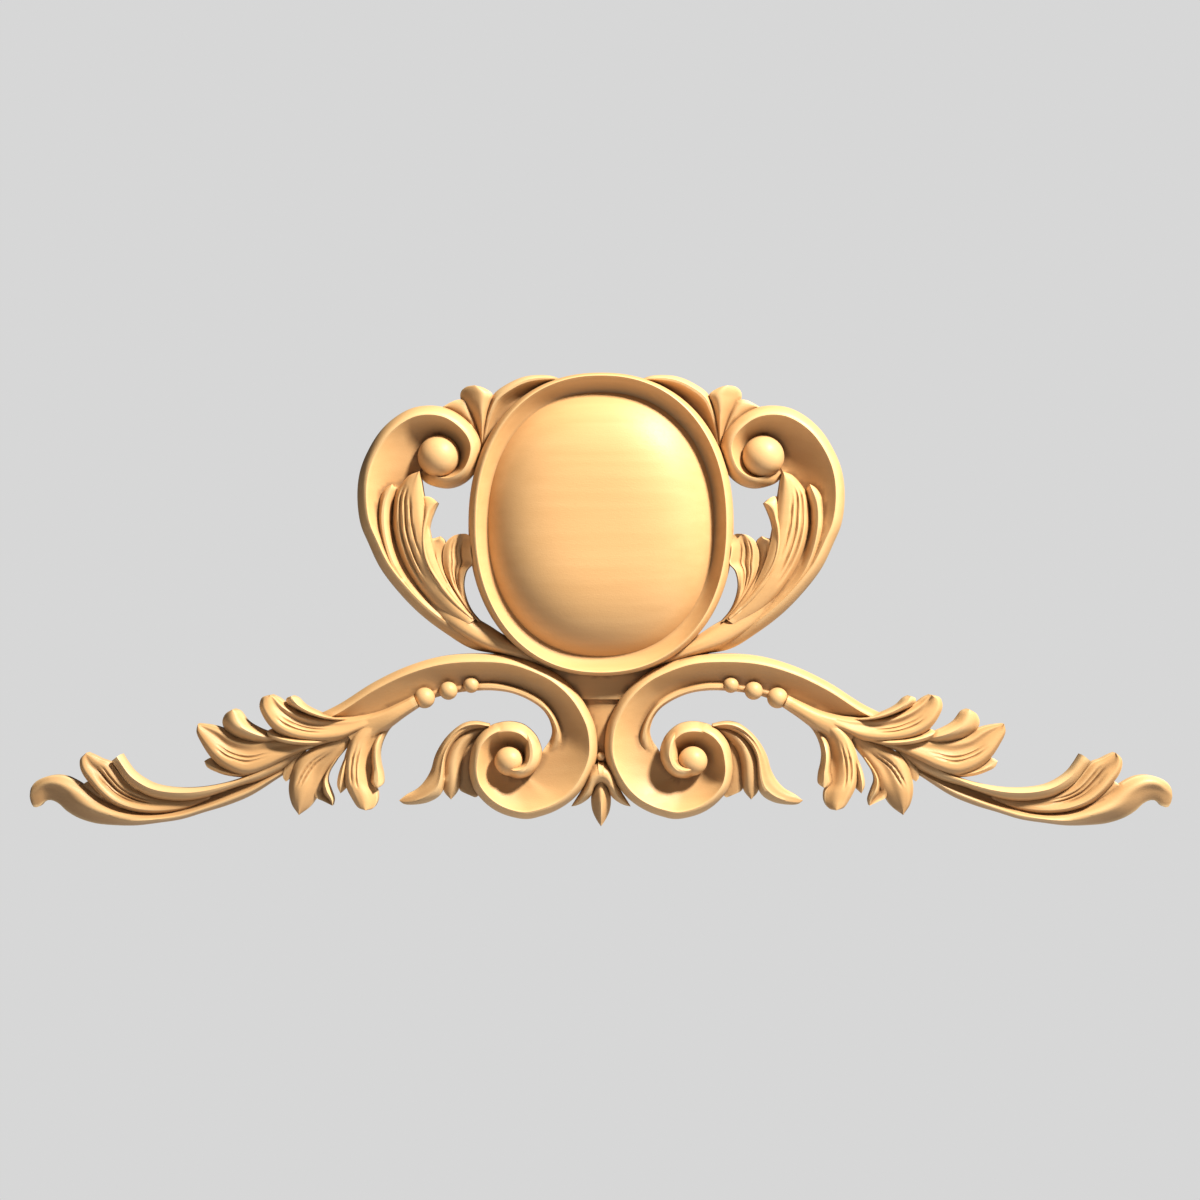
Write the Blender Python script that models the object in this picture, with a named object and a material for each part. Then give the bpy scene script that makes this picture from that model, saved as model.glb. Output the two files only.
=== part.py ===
"""Carved cartouche: an openwork overlay of carved wood with a flat back.

The carving is drawn on a square pattern grid: x runs outward from the centre line and z
runs up from the centre of the oval. One side is drawn and the other is its mirror image.
Each leaf, scroll and moulding is a strip of surface between two edge lines, with walls
that go straight down to the back, and all of them are fused into one solid.
"""
import bmesh
import bpy
import numpy as np

MM = 0.001

# Driving sizes in millimetres
OVAL_WIDTH = 185.0
OVAL_HEIGHT = 211.5
OVAL_EDGE_HEIGHT = 20.0
OVAL_CREST_HEIGHT = 30.0
OVAL_CREST_INSET = 5.4
OVAL_END_CREST_INSET = 2.6
GROOVE_HEIGHT = 18.0
GROOVE_INSET = 13.6
COVE_FULLNESS = 1.6
DOME_HEIGHT = 40.0
OVAL_SQUARENESS = 2.2
DOME_FULLNESS = 4.0
SCROLL_HEIGHT = 173.6
SCROLL_RELIEF = 28.0
SCROLL_RIM_WIDTH = 7.0
BALL_DIAMETER = 29.6
BALL_TOP_HEIGHT = 28.0
BALL_BED_HEIGHT = 11.5
UPPER_LEAF_RELIEF = 30.0
TOP_LEAF_RELIEF = 23.0
VOLUTE_HEIGHT = 115.5
ARCH_RELIEF = 26.0
ARCH_RIM_WIDTH = 5.6
TURN_RIM_WIDTH = 6.2
ARCH_FLOOR_HEIGHT = 13.0
FILLET_HEIGHT = 18.5
EYE_DIAMETER = 20.5
EYE_HEIGHT = 29.0
BEAD_DIAMETERS = (14.6, 12.2, 11.0)
BEAD_TOP_HEIGHT = 22.5
SIDE_LEAF_RELIEF = 20.0
SPRAY_LENGTH = 271.6
SPRAY_RELIEF = 26.0
SECOND_SPRAY_RELIEF = 22.0
TAIL_RELIEF = 18.0
PANEL_HEIGHT = 17.0
DROP_RELIEF = 22.0
KNOB_DIAMETER = 6.0
KNOB_TOP_HEIGHT = 19.0

# Squares of the pattern: where each part grows from, and how many squares it spans
ROOTS = {"flank": (132.0, 0.0), "oval foot": (0.0, -151.0), "collar": (184.5, -176.5)}
SQUARES = {"scroll height": 248, "volute height": 165, "spray length": 388}

# How finely the carving is cut
BACK_ALLOWANCE = 1.0
BACK_STAGGER = 0.07
MERGE_DISTANCE = 1e-7
WELD = 0.00002
SHARP_ANGLE = 0.6
SLAB_SIZE = 2.0
OVAL_STEPS = 48
ROW_SPACING = 10.0
BAND_ROW_SPACING = 8.5
BIG_BALL_SEGMENTS = 16
KNOB_SEGMENTS = 8
TRIANGLE_SHARE = 0.66


def hermite(knots, values, at):
    """Smooth curve through the values, read at the given places."""
    knots = np.asarray(knots, float)
    values = np.asarray(values, float)
    at = np.clip(np.asarray(at, float), knots[0], knots[-1])
    shape = (len(knots),) + (1,) * (values.ndim - 1)
    spacing = np.diff(knots).reshape((-1,) + (1,) * (values.ndim - 1))
    slopes = np.diff(values, axis=0) / spacing
    tangents = np.empty_like(values)
    tangents[0] = slopes[0]
    tangents[-1] = slopes[-1]
    tangents[1:-1] = (slopes[:-1] * spacing[1:] + slopes[1:] * spacing[:-1]) / (spacing[1:] + spacing[:-1])
    span = np.clip(np.searchsorted(knots, at, side="right") - 1, 0, len(knots) - 2)
    gap = spacing[span]
    u = ((at - knots[span]).reshape((-1,) + (1,) * (len(shape) - 1))) / gap
    start = (1 + 2 * u) * (1 - u) ** 2 * values[span] + u * (1 - u) ** 2 * gap * tangents[span]
    finish = u ** 2 * (3 - 2 * u) * values[span + 1] + u ** 2 * (u - 1) * gap * tangents[span + 1]
    return start + finish


def chord_knots(points):
    """Places along the points, spaced by the square root of each step."""
    steps = np.linalg.norm(np.diff(points, axis=0), axis=1)
    return np.concatenate([[0.0], np.cumsum(np.sqrt(np.maximum(steps, 1e-9)))])


def edge_line(points, places):
    """The smooth line through the points, read at shares of its own length."""
    points = np.asarray(points, float)
    knots = chord_knots(points)
    fine = hermite(knots, points, np.linspace(0, knots[-1], 24 * len(points)))
    length = np.concatenate([[0.0], np.cumsum(np.linalg.norm(np.diff(fine, axis=0), axis=1))])
    wanted = np.asarray(places) * length[-1]
    return np.column_stack([np.interp(wanted, length, fine[:, i]) for i in range(2)])


class Ground:
    """A part of the pattern, placed and scaled about the square where it grows."""

    def __init__(self, square, place, size):
        self.square = np.asarray(square, float)
        self.place = np.asarray(place, float)
        self.size = size

    def real(self, points):
        """Squares of the pattern as millimetres from the oval's centre."""
        return self.place + (np.asarray(points, float) - self.square) * self.size


UPPER = Ground(ROOTS["flank"], (OVAL_WIDTH / 2, 0), SCROLL_HEIGHT / SQUARES["scroll height"])
LOWER = Ground(ROOTS["oval foot"], (0, -OVAL_HEIGHT / 2), VOLUTE_HEIGHT / SQUARES["volute height"])
SPRAY = Ground(ROOTS["collar"], LOWER.real(ROOTS["collar"]), SPRAY_LENGTH / SQUARES["spray length"])

carved = []


def solid(faces_from, name):
    """Make a closed mesh object from a bmesh and keep it for the union."""
    bmesh.ops.remove_doubles(faces_from, verts=faces_from.verts, dist=MERGE_DISTANCE)
    bmesh.ops.recalc_face_normals(faces_from, faces=faces_from.faces)
    mesh = bpy.data.meshes.new(name)
    faces_from.to_mesh(mesh)
    faces_from.free()
    piece = bpy.data.objects.new(name, mesh)
    bpy.context.scene.collection.objects.link(piece)
    carved.append(piece)
    return piece


def sheet(name, near, far, across, heights, mirrored=False):
    """Closed solid under a surface that spans two edge lines, down past the back."""
    rows, columns = heights.shape
    side = -1 if mirrored else 1
    back = (BACK_ALLOWANCE + BACK_STAGGER * len(carved)) * MM
    grid = bmesh.new()
    top = []
    low = []
    for i in range(rows):
        line = []
        for j in range(columns):
            x, z = near[i] + (far[i] - near[i]) * across[i, j]
            line.append(grid.verts.new((side * x * MM, -heights[i, j] * MM, z * MM)))
        top.append(line)
        low.append([grid.verts.new((v.co.x, back, v.co.z)) for v in (line[0], line[-1])])
    for i in range(rows - 1):
        for j in range(columns - 1):
            grid.faces.new((top[i][j], top[i][j + 1], top[i + 1][j + 1], top[i + 1][j]))
        grid.faces.new((top[i][0], top[i + 1][0], low[i + 1][0], low[i][0]))
        grid.faces.new((top[i][-1], low[i][-1], low[i + 1][-1], top[i + 1][-1]))
        grid.faces.new((low[i][0], low[i + 1][0], low[i + 1][1], low[i][1]))
    for i in (0, rows - 1):
        if np.linalg.norm(near[i] - far[i]) > 1e-6:
            grid.faces.new([low[i][0]] + top[i] + [low[i][1]])
    return solid(grid, name)


def line_length(points):
    """The length of the straight steps between the points."""
    return np.linalg.norm(np.diff(np.asarray(points, float), axis=0), axis=1).sum()


def leaf(name, ground, relief, near, far, table, grade=1.35):
    """A leaf finger from its tip to its root; the table holds shares of the relief."""
    steps = max(4, round(line_length(far) * ground.size / ROW_SPACING))
    places = (np.arange(steps + 1) / steps) ** grade
    near_line = ground.real(edge_line(near, places))
    far_line = ground.real(edge_line(far, places))
    table = np.asarray(table, float)
    heights = hermite(np.linspace(0, 1, len(table)), table, places)
    if np.linalg.norm(near_line[0] - far_line[0]) < 1e-6:
        heights[0] = heights[0].mean()
    across = np.tile(np.linspace(0, 1, table.shape[1]), (steps + 1, 1))
    for mirrored in (False, True):
        sheet(name, near_line, far_line, across, heights * relief, mirrored)


def scroll_band(name, ground, pairs, rim_width, crest, floor, shoulder, columns=4):
    """A band with a rounded rim along its outer edge and a cove falling to its inner one."""
    outer = np.array([pair[0] for pair in pairs], float)
    inner = np.array([pair[1] for pair in pairs], float)
    knots = chord_knots(outer)
    steps = round(line_length(outer) * ground.size / BAND_ROW_SPACING)
    places = np.linspace(0, knots[-1], steps + 1)
    near_line = ground.real(hermite(knots, outer, places))
    far_line = ground.real(hermite(knots, inner, places))
    share = places / knots[-1]
    crest_line, floor_line, shoulder_line = (
        hermite(np.linspace(0, 1, len(line)), line, share) for line in (crest, floor, shoulder))
    width = np.linalg.norm(far_line - near_line, axis=1)
    rim = np.minimum(rim_width, 0.8 * width)
    falls = np.linspace(0, 1, columns)
    across = np.empty((steps + 1, columns + 2))
    heights = np.empty_like(across)
    across[:, 0] = 0
    heights[:, 0] = shoulder_line
    across[:, 1] = 0.45 * rim / width
    heights[:, 1] = shoulder_line + 0.8 * (crest_line - shoulder_line)
    for j, fall in enumerate(falls):
        across[:, j + 2] = (rim + (width - rim) * fall ** 1.3) / width
        heights[:, j + 2] = floor_line + (crest_line - floor_line) * (1 - fall ** 1.3) ** 2
    for mirrored in (False, True):
        sheet(name, near_line, far_line, across, heights, mirrored)


def ball(name, centre, diameter, top, segments=12):
    """A round boss whose foot is buried in what carries it."""
    for side in (1, -1):
        grid = bmesh.new()
        bmesh.ops.create_uvsphere(grid, u_segments=segments, v_segments=segments // 2,
                                  radius=diameter / 2 * MM)
        bmesh.ops.translate(grid, verts=grid.verts,
                            vec=(side * centre[0] * MM, (diameter / 2 - top) * MM, centre[1] * MM))
        solid(grid, name)


def bed(name, centre, radius, height):
    """The flat floor on which a ball or an eye stands."""
    turn = np.linspace(0, np.pi, 11)
    reach = radius * np.column_stack([np.cos(turn), np.sin(turn)])
    near_line = np.asarray(centre) + reach
    far_line = np.asarray(centre) + reach * (1, -1)
    for mirrored in (False, True):
        sheet(name, near_line, far_line, np.tile([0.0, 1.0], (11, 1)), np.full((11, 2), height), mirrored)


def toward(centre, point, radius):
    """The place on a circle about the centre that faces the point."""
    centre = np.asarray(centre, float)
    way = np.asarray(point, float) - centre
    return tuple(centre + way / np.linalg.norm(way) * radius)


def oval_boss():
    """The blank domed oval in its raised rim, as rings from the back edge to the middle."""
    half = np.array([OVAL_WIDTH, OVAL_HEIGHT]) / 2
    crest = np.array([OVAL_CREST_INSET, OVAL_END_CREST_INSET])
    rings = [(crest * 0, -BACK_ALLOWANCE), (crest * 0, OVAL_EDGE_HEIGHT)]
    for share, rise in ((0.4, 0.7), (1, 1)):
        rings.append((crest * share, OVAL_EDGE_HEIGHT + (OVAL_CREST_HEIGHT - OVAL_EDGE_HEIGHT) * rise))
    for share in (0.3, 0.65, 1):
        fall = (1 - share) ** COVE_FULLNESS
        rings.append((crest + (GROOVE_INSET - crest) * share,
                      GROOVE_HEIGHT + (OVAL_CREST_HEIGHT - GROOVE_HEIGHT) * fall))
    for share in (0.93, 0.84, 0.73, 0.59, 0.40, 0.20):
        rise = 1 - share ** DOME_FULLNESS
        rings.append((half - (half - GROOVE_INSET) * share,
                      GROOVE_HEIGHT + (DOME_HEIGHT - GROOVE_HEIGHT) * rise))
    angles = np.arange(OVAL_STEPS) * 2 * np.pi / OVAL_STEPS
    cosine = np.sign(np.cos(angles)) * np.abs(np.cos(angles)) ** (2 / OVAL_SQUARENESS)
    sine = np.sign(np.sin(angles)) * np.abs(np.sin(angles)) ** (2 / OVAL_SQUARENESS)
    grid = bmesh.new()
    loops = []
    for inset, height in rings:
        width, tall = half - inset
        loops.append([grid.verts.new((width * c * MM, -height * MM, tall * s * MM))
                      for c, s in zip(cosine, sine)])
    for lower, upper in zip(loops, loops[1:]):
        for i in range(OVAL_STEPS):
            k = (i + 1) % OVAL_STEPS
            grid.faces.new((lower[i], lower[k], upper[k], upper[i]))
    grid.faces.new(loops[0])
    peak = grid.verts.new((0, -DOME_HEIGHT * MM, 0))
    for i in range(OVAL_STEPS):
        grid.faces.new((loops[-1][i], loops[-1][(i + 1) % OVAL_STEPS], peak))
    return solid(grid, "oval")


def upper_scroll():
    """The C-scroll that curls round a ball beside the oval."""
    centre = (162, 68)
    inner_circle = 16
    floor_circle = 25
    below = [((102, -130), (98, -118)), ((130, -124), (118, -106)), ((155, -109), (138, -90)),
             ((179, -91), (158, -70)), ((200, -70), (174, -50)), ((220, -44), (184, -30)),
             ((232, -19), (190, -10)), ((240, 1), (193, 12)), ((243, 30), (190, 38)),
             ((240, 54), (180, 56))]
    curl = [(232, 74), (220, 93), (205, 107), (188, 116), (170, 118.5), (154, 116), (139, 108),
            (126, 95), (120, 81), (121, 66), (128, 50), (139, 40.5), (152, 36.5), (165, 38),
            (176, 42.5), (182, 50)]
    pairs = below + [(point, toward(centre, point, inner_circle)) for point in curl]
    crest = np.multiply([0.57, 0.64, 0.79, 0.93, 1, 1, 1, 1, 0.96, 0.89, 0.75, 0.48], SCROLL_RELIEF)
    floor = np.multiply([0.43, 0.43, 0.43, 0.43, 0.43, 0.45, 0.46], SCROLL_RELIEF)
    shoulder = np.multiply([0.36, 0.43, 0.50, 0.57, 0.61, 0.64, 0.64, 0.64, 0.61, 0.57, 0.50, 0.43],
                           SCROLL_RELIEF)
    scroll_band("upper_scroll", UPPER, pairs, SCROLL_RIM_WIDTH, crest, floor, shoulder)
    bed("ball_bed", UPPER.real(centre), floor_circle * UPPER.size, BALL_BED_HEIGHT)
    ball("ball", UPPER.real(centre), BALL_DIAMETER, BALL_TOP_HEIGHT, BIG_BALL_SEGMENTS)


def upper_leaf():
    """Five fingers that share one stem and lie over the C-scroll."""
    relief = UPPER_LEAF_RELIEF
    leaf("upper_leaf_a", UPPER, relief,
         [(208, 40), (214, 36), (219, 29), (222.5, 13), (222.6, -2), (220, -19), (213.8, -40), (204, -57),
          (191, -72), (177, -86), (160, -99), (142, -111)],
         [(208, 40), (205, 36), (206, 28), (208.5, 18), (208.5, 0), (204.5, -21), (195, -44), (182, -63),
          (168, -79), (150, -94), (134, -104)],
         [[0.74, 0.80, 0.82, 0.78, 0.70], [0.56, 0.80, 0.84, 0.74, 0.48], [0.52, 0.74, 0.76, 0.64, 0.46],
          [0.44, 0.62, 0.66, 0.62, 0.50], [0.38, 0.54, 0.58, 0.56, 0.46]])
    leaf("upper_leaf_b", UPPER, relief,
         [(180.5, 52.5), (190, 49), (199, 40), (205, 30), (207.5, 13), (208, -4), (203.5, -24), (194, -46),
          (178, -70), (158, -90), (138, -104)],
         [(180.5, 52.5), (179, 44), (177, 31), (174, 12), (171, -6), (165, -32), (154, -58), (140, -78),
          (124, -94)],
         [[0.80, 0.88, 0.94, 0.96, 0.98, 0.96, 0.90], [0.56, 0.84, 0.90, 0.94, 0.96, 0.94, 0.84],
          [0.50, 0.74, 0.82, 0.86, 0.90, 0.90, 0.80], [0.50, 0.66, 0.73, 0.77, 0.79, 0.77, 0.68],
          [0.46, 0.60, 0.67, 0.70, 0.70, 0.67, 0.58]])
    leaf("upper_leaf_c", UPPER, relief,
         [(162.5, 21.5), (170, 27), (176.5, 27), (179.5, 15), (183.5, 4), (184, -14), (178, -38),
          (165, -60), (148, -80), (130, -96)],
         [(162.5, 21.5), (166, 14), (170, 3), (172, -9), (171.8, -22), (168, -38), (158, -56), (144, -74),
          (126, -92)],
         [[0.84, 0.88, 0.90, 0.90, 0.84], [0.66, 0.80, 0.92, 0.94, 0.72], [0.78, 0.86, 0.92, 0.88, 0.66],
          [0.74, 0.80, 0.82, 0.78, 0.62], [0.59, 0.68, 0.70, 0.66, 0.55]])
    leaf("upper_leaf_d", UPPER, relief,
         [(160, -12), (166, -14), (172, -15), (173, -24), (170, -38), (161, -56), (148, -74), (132, -90)],
         [(160, -12), (156, -16), (155.5, -20), (157.5, -30), (155, -46), (146, -64), (134, -82),
          (124, -94)],
         [[0.70, 0.74, 0.76, 0.72, 0.66], [0.66, 0.80, 0.70, 0.64, 0.54], [0.62, 0.76, 0.66, 0.64, 0.52],
          [0.62, 0.72, 0.70, 0.66, 0.56], [0.54, 0.62, 0.62, 0.60, 0.52]])
    leaf("upper_leaf_e", UPPER, relief,
         [(140, -9.5), (147, -11.5), (154, -17.5), (157.5, -28), (156.5, -44), (148, -64), (136, -82),
          (124, -96)],
         [(140, -9.5), (133, -10), (129, -15), (129.6, -24), (128.6, -32), (127.6, -38.5), (134, -46),
          (137, -60), (134.5, -74), (129, -86), (119, -98)],
         [[0.66, 0.66, 0.66, 0.70, 0.74], [0.62, 0.68, 0.60, 0.68, 0.84], [0.60, 0.70, 0.64, 0.72, 0.76],
          [0.58, 0.68, 0.68, 0.66, 0.58], [0.52, 0.60, 0.62, 0.58, 0.48]])
    leaf("upper_leaf_stem", UPPER, relief,
         [(186, -76), (177, -86), (162, -98.5), (143, -111), (121, -123.5), (100, -131), (80, -137),
          (50, -146)],
         [(150, -56), (142, -72), (134, -84), (125, -93), (112, -101), (98, -110), (84, -117), (56, -126)],
         [[0.30, 0.48, 0.55, 0.57, 0.55, 0.49, 0.34], [0.38, 0.60, 0.67, 0.68, 0.66, 0.58, 0.42],
          [0.40, 0.66, 0.73, 0.73, 0.70, 0.62, 0.46], [0.40, 0.62, 0.70, 0.70, 0.68, 0.60, 0.44],
          [0.34, 0.50, 0.54, 0.54, 0.52, 0.48, 0.40]], grade=1.0)


def top_leaves():
    """The small leaves in the corner between the C-scroll and the oval."""
    relief = TOP_LEAF_RELIEF
    leaf("top_leaf_long", UPPER, relief,
         [(36, 143), (49, 148), (62, 149), (76, 147.5), (92, 141), (107, 130), (114, 114), (118.4, 92),
          (120.3, 64.5)],
         [(36, 138), (48, 132), (58, 127), (68, 122), (80, 113), (92, 102), (101, 90), (108, 76),
          (113, 62)],
         [[0.78, 1.00, 0.84, 0.74, 0.76, 0.70], [0.74, 1.00, 0.74, 0.60, 0.70, 0.62],
          [0.70, 0.98, 0.70, 0.56, 0.64, 0.56], [0.60, 0.72, 0.60, 0.52, 0.52, 0.50],
          [0.44, 0.46, 0.46, 0.44, 0.44, 0.42]], grade=1.0)
    leaf("top_leaf_cup", UPPER, relief,
         [(126, 138.5), (134, 137.3), (139.5, 133), (140.5, 127), (137, 119), (130.5, 109), (125, 97),
          (121.8, 85), (120, 70)],
         [(126, 138.5), (117, 136), (108, 129.5), (110.5, 122), (113.5, 112), (115.5, 100), (117, 87),
          (118, 69)],
         [[0.88, 0.90, 0.92, 0.92, 0.88], [0.60, 0.80, 0.94, 1.00, 0.84], [0.56, 0.70, 0.84, 0.90, 0.74],
          [0.52, 0.60, 0.68, 0.70, 0.60], [0.44, 0.46, 0.48, 0.46, 0.44]])
    leaf("top_leaf_back", UPPER, relief,
         [(158, 117.5), (150.5, 121.8), (143.5, 124.5), (136, 124), (129, 112), (124, 99), (120, 84),
          (117.4, 67)],
         [(158, 117.5), (150, 113), (140, 106), (130, 97), (124, 88), (120, 76), (119, 66)],
         [[0.64, 0.66, 0.66, 0.64, 0.62], [0.66, 0.72, 0.74, 0.70, 0.60], [0.50, 0.58, 0.62, 0.60, 0.54],
          [0.42, 0.44, 0.46, 0.44, 0.42]], grade=1.0)


def arch_and_volute():
    """The arch below the oval, its volute with a round eye, the fillet and the beads."""
    eye = (91.5, -236.0)
    inner_circle = 12.5
    floor_circle = 26
    shoulder_share = 0.68
    arch = [((283, -190), (282, -199)), ((261, -179), (257, -197)), ((227, -157.5), (221, -191)),
            ((192, -141), (187, -180)), ((158, -131.5), (155, -169)), ((123, -129), (121, -165.5)),
            ((89, -131.5), (92, -167.5)), ((54, -144), (70, -176)), ((37, -155), (61, -182)),
            ((23, -169), (55, -189)), ((13, -184.5), (51, -197)), ((6, -201.5), (49, -207)),
            ((3.6, -219), (52, -217)), ((4.4, -232.5), (58, -226)), ((9.6, -248), (62, -235)),
            ((20, -265.5), (68, -244)), ((32, -277.5), (75, -248.5))]
    roll = [(46, -286), (59.5, -291), (74, -294), (92, -291), (106, -285), (118, -275.5),
            (127, -263.5), (131, -249.5), (131, -235.5), (127, -218.5), (118, -206.5), (108, -200),
            (98, -197.4)]
    turn = [(108, -200), (98, -197.4), (88, -197.2), (78, -199.8), (70, -205.5), (63.5, -213.5), (60, -223.5)]
    pairs = arch + [(point, toward(eye, point, inner_circle)) for point in roll]
    crest = np.multiply([0.69, 0.81, 0.92, 1, 1, 1, 1, 1, 1, 1, 1.03, 0.96], ARCH_RELIEF)
    floor = np.full(4, ARCH_FLOOR_HEIGHT)
    scroll_band("arch", LOWER, pairs, ARCH_RIM_WIDTH, crest, floor, crest * shoulder_share)
    pairs = [(point, toward(eye, point, inner_circle)) for point in turn]
    crest = np.multiply([0.94, 1.05, 1.05, 1.05], ARCH_RELIEF)
    scroll_band("volute_turn", LOWER, pairs, TURN_RIM_WIDTH, crest, floor - 0.4, crest * shoulder_share)
    leaf("volute_comma", LOWER, ARCH_RELIEF,
         [(82, -199), (72, -204), (65, -211.5), (60.3, -221), (59, -231), (61.5, -239.5), (67, -247.5),
          (76, -252.9), (86, -254.2), (98, -251)],
         [(84, -206), (78.5, -210), (76.5, -216), (76.3, -224), (76.6, -231), (78.3, -236.5),
          (81.5, -239.5),
          (86, -240.5), (91, -240), (98, -239)],
         [[0.52, 0.62, 0.70, 0.66, 0.52], [0.66, 0.94, 1.05, 0.98, 0.60], [0.72, 1.01, 1.11, 1.04, 0.66],
          [0.72, 1.02, 1.12, 1.06, 0.74], [0.62, 0.96, 1.08, 1.08, 0.90], [0.31, 0.58, 0.81, 0.96, 1.04]],
         grade=1.0)
    leaf("fillet", LOWER, FILLET_HEIGHT,
         [(188, -172), (165, -164), (146, -160), (122, -157.5), (106, -157.5), (89, -161), (72, -167),
          (58, -175.5), (47.5, -187.5), (40.5, -201.5), (37, -218.5), (44, -236)],
         [(185, -181), (165, -173), (146, -168.5), (122, -166), (106, -166), (89, -168.6), (72, -175.5),
          (58.5, -185), (51, -196.5), (48.5, -206.5), (51.5, -217.5), (60, -233)],
         [[0.70, 0.84, 0.86, 0.84, 0.70], [0.65, 0.78, 0.81, 0.78, 0.65], [0.70, 0.97, 1.00, 0.97, 0.70],
          [0.76, 0.97, 1.00, 0.97, 0.70], [0.70, 0.97, 1.03, 0.95, 0.65],
           [0.59, 0.65, 0.65, 0.65, 0.59]], grade=1.0)
    bed("eye_bed", LOWER.real(eye), floor_circle * LOWER.size, ARCH_FLOOR_HEIGHT - 0.5)
    ball("eye", LOWER.real(eye), EYE_DIAMETER, EYE_HEIGHT, BIG_BALL_SEGMENTS)
    bead_centre_height = BEAD_TOP_HEIGHT - BEAD_DIAMETERS[0] / 2
    for place, diameter in zip([(176.2, -173.2), (152.4, -166), (129.6, -160.4)], BEAD_DIAMETERS):
        ball("bead", LOWER.real(place), diameter, bead_centre_height + diameter / 2)


def volute_leaves():
    """Three fingers that fan out from the side of the volute."""
    relief = SIDE_LEAF_RELIEF
    leaf("side_leaf_long", LOWER, relief,
         [(202, -276), (195, -270.5), (185, -265), (177, -257), (170.5, -246), (166, -231), (159, -218),
          (149, -206.5), (137, -198.5), (125, -196.8), (111.5, -199.4)],
         [(202, -276), (197, -279.5), (185, -280), (171, -277), (160.5, -270), (156.5, -258), (156, -245),
          (155, -234), (150, -222), (140, -211), (126, -204.5), (111, -204.6)],
         [[0.58, 0.58, 0.58, 0.58, 0.58], [0.56, 0.78, 0.84, 0.88, 0.60], [0.58, 0.82, 0.86, 0.94, 0.66],
          [0.62, 0.94, 0.88, 0.88, 0.66], [0.70, 1.00, 0.88, 0.80, 0.70]])
    leaf("side_leaf_middle", LOWER, relief,
         [(150, -275), (157, -267), (161, -252), (159, -233), (150, -216), (136, -204), (113.6, -200.8)],
         [(150, -275), (143.5, -267), (141, -255), (140, -240), (136, -226), (127, -215), (113, -207.3)],
         [[0.62, 0.64, 0.64, 0.62, 0.60], [0.50, 0.66, 0.78, 0.76, 0.50], [0.54, 0.66, 0.78, 0.72, 0.52],
          [0.56, 0.66, 0.70, 0.66, 0.56]])
    leaf("side_leaf_short", LOWER, relief,
         [(133, -269.5), (141, -266), (144, -252), (142, -236), (135, -221), (120, -209)],
         [(133, -269.5), (125, -273), (120, -264), (120, -246), (118, -230), (112, -214)],
         [[0.46, 0.48, 0.48, 0.48, 0.46], [0.44, 0.52, 0.54, 0.50, 0.46], [0.46, 0.54, 0.56, 0.52, 0.46]])


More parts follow.
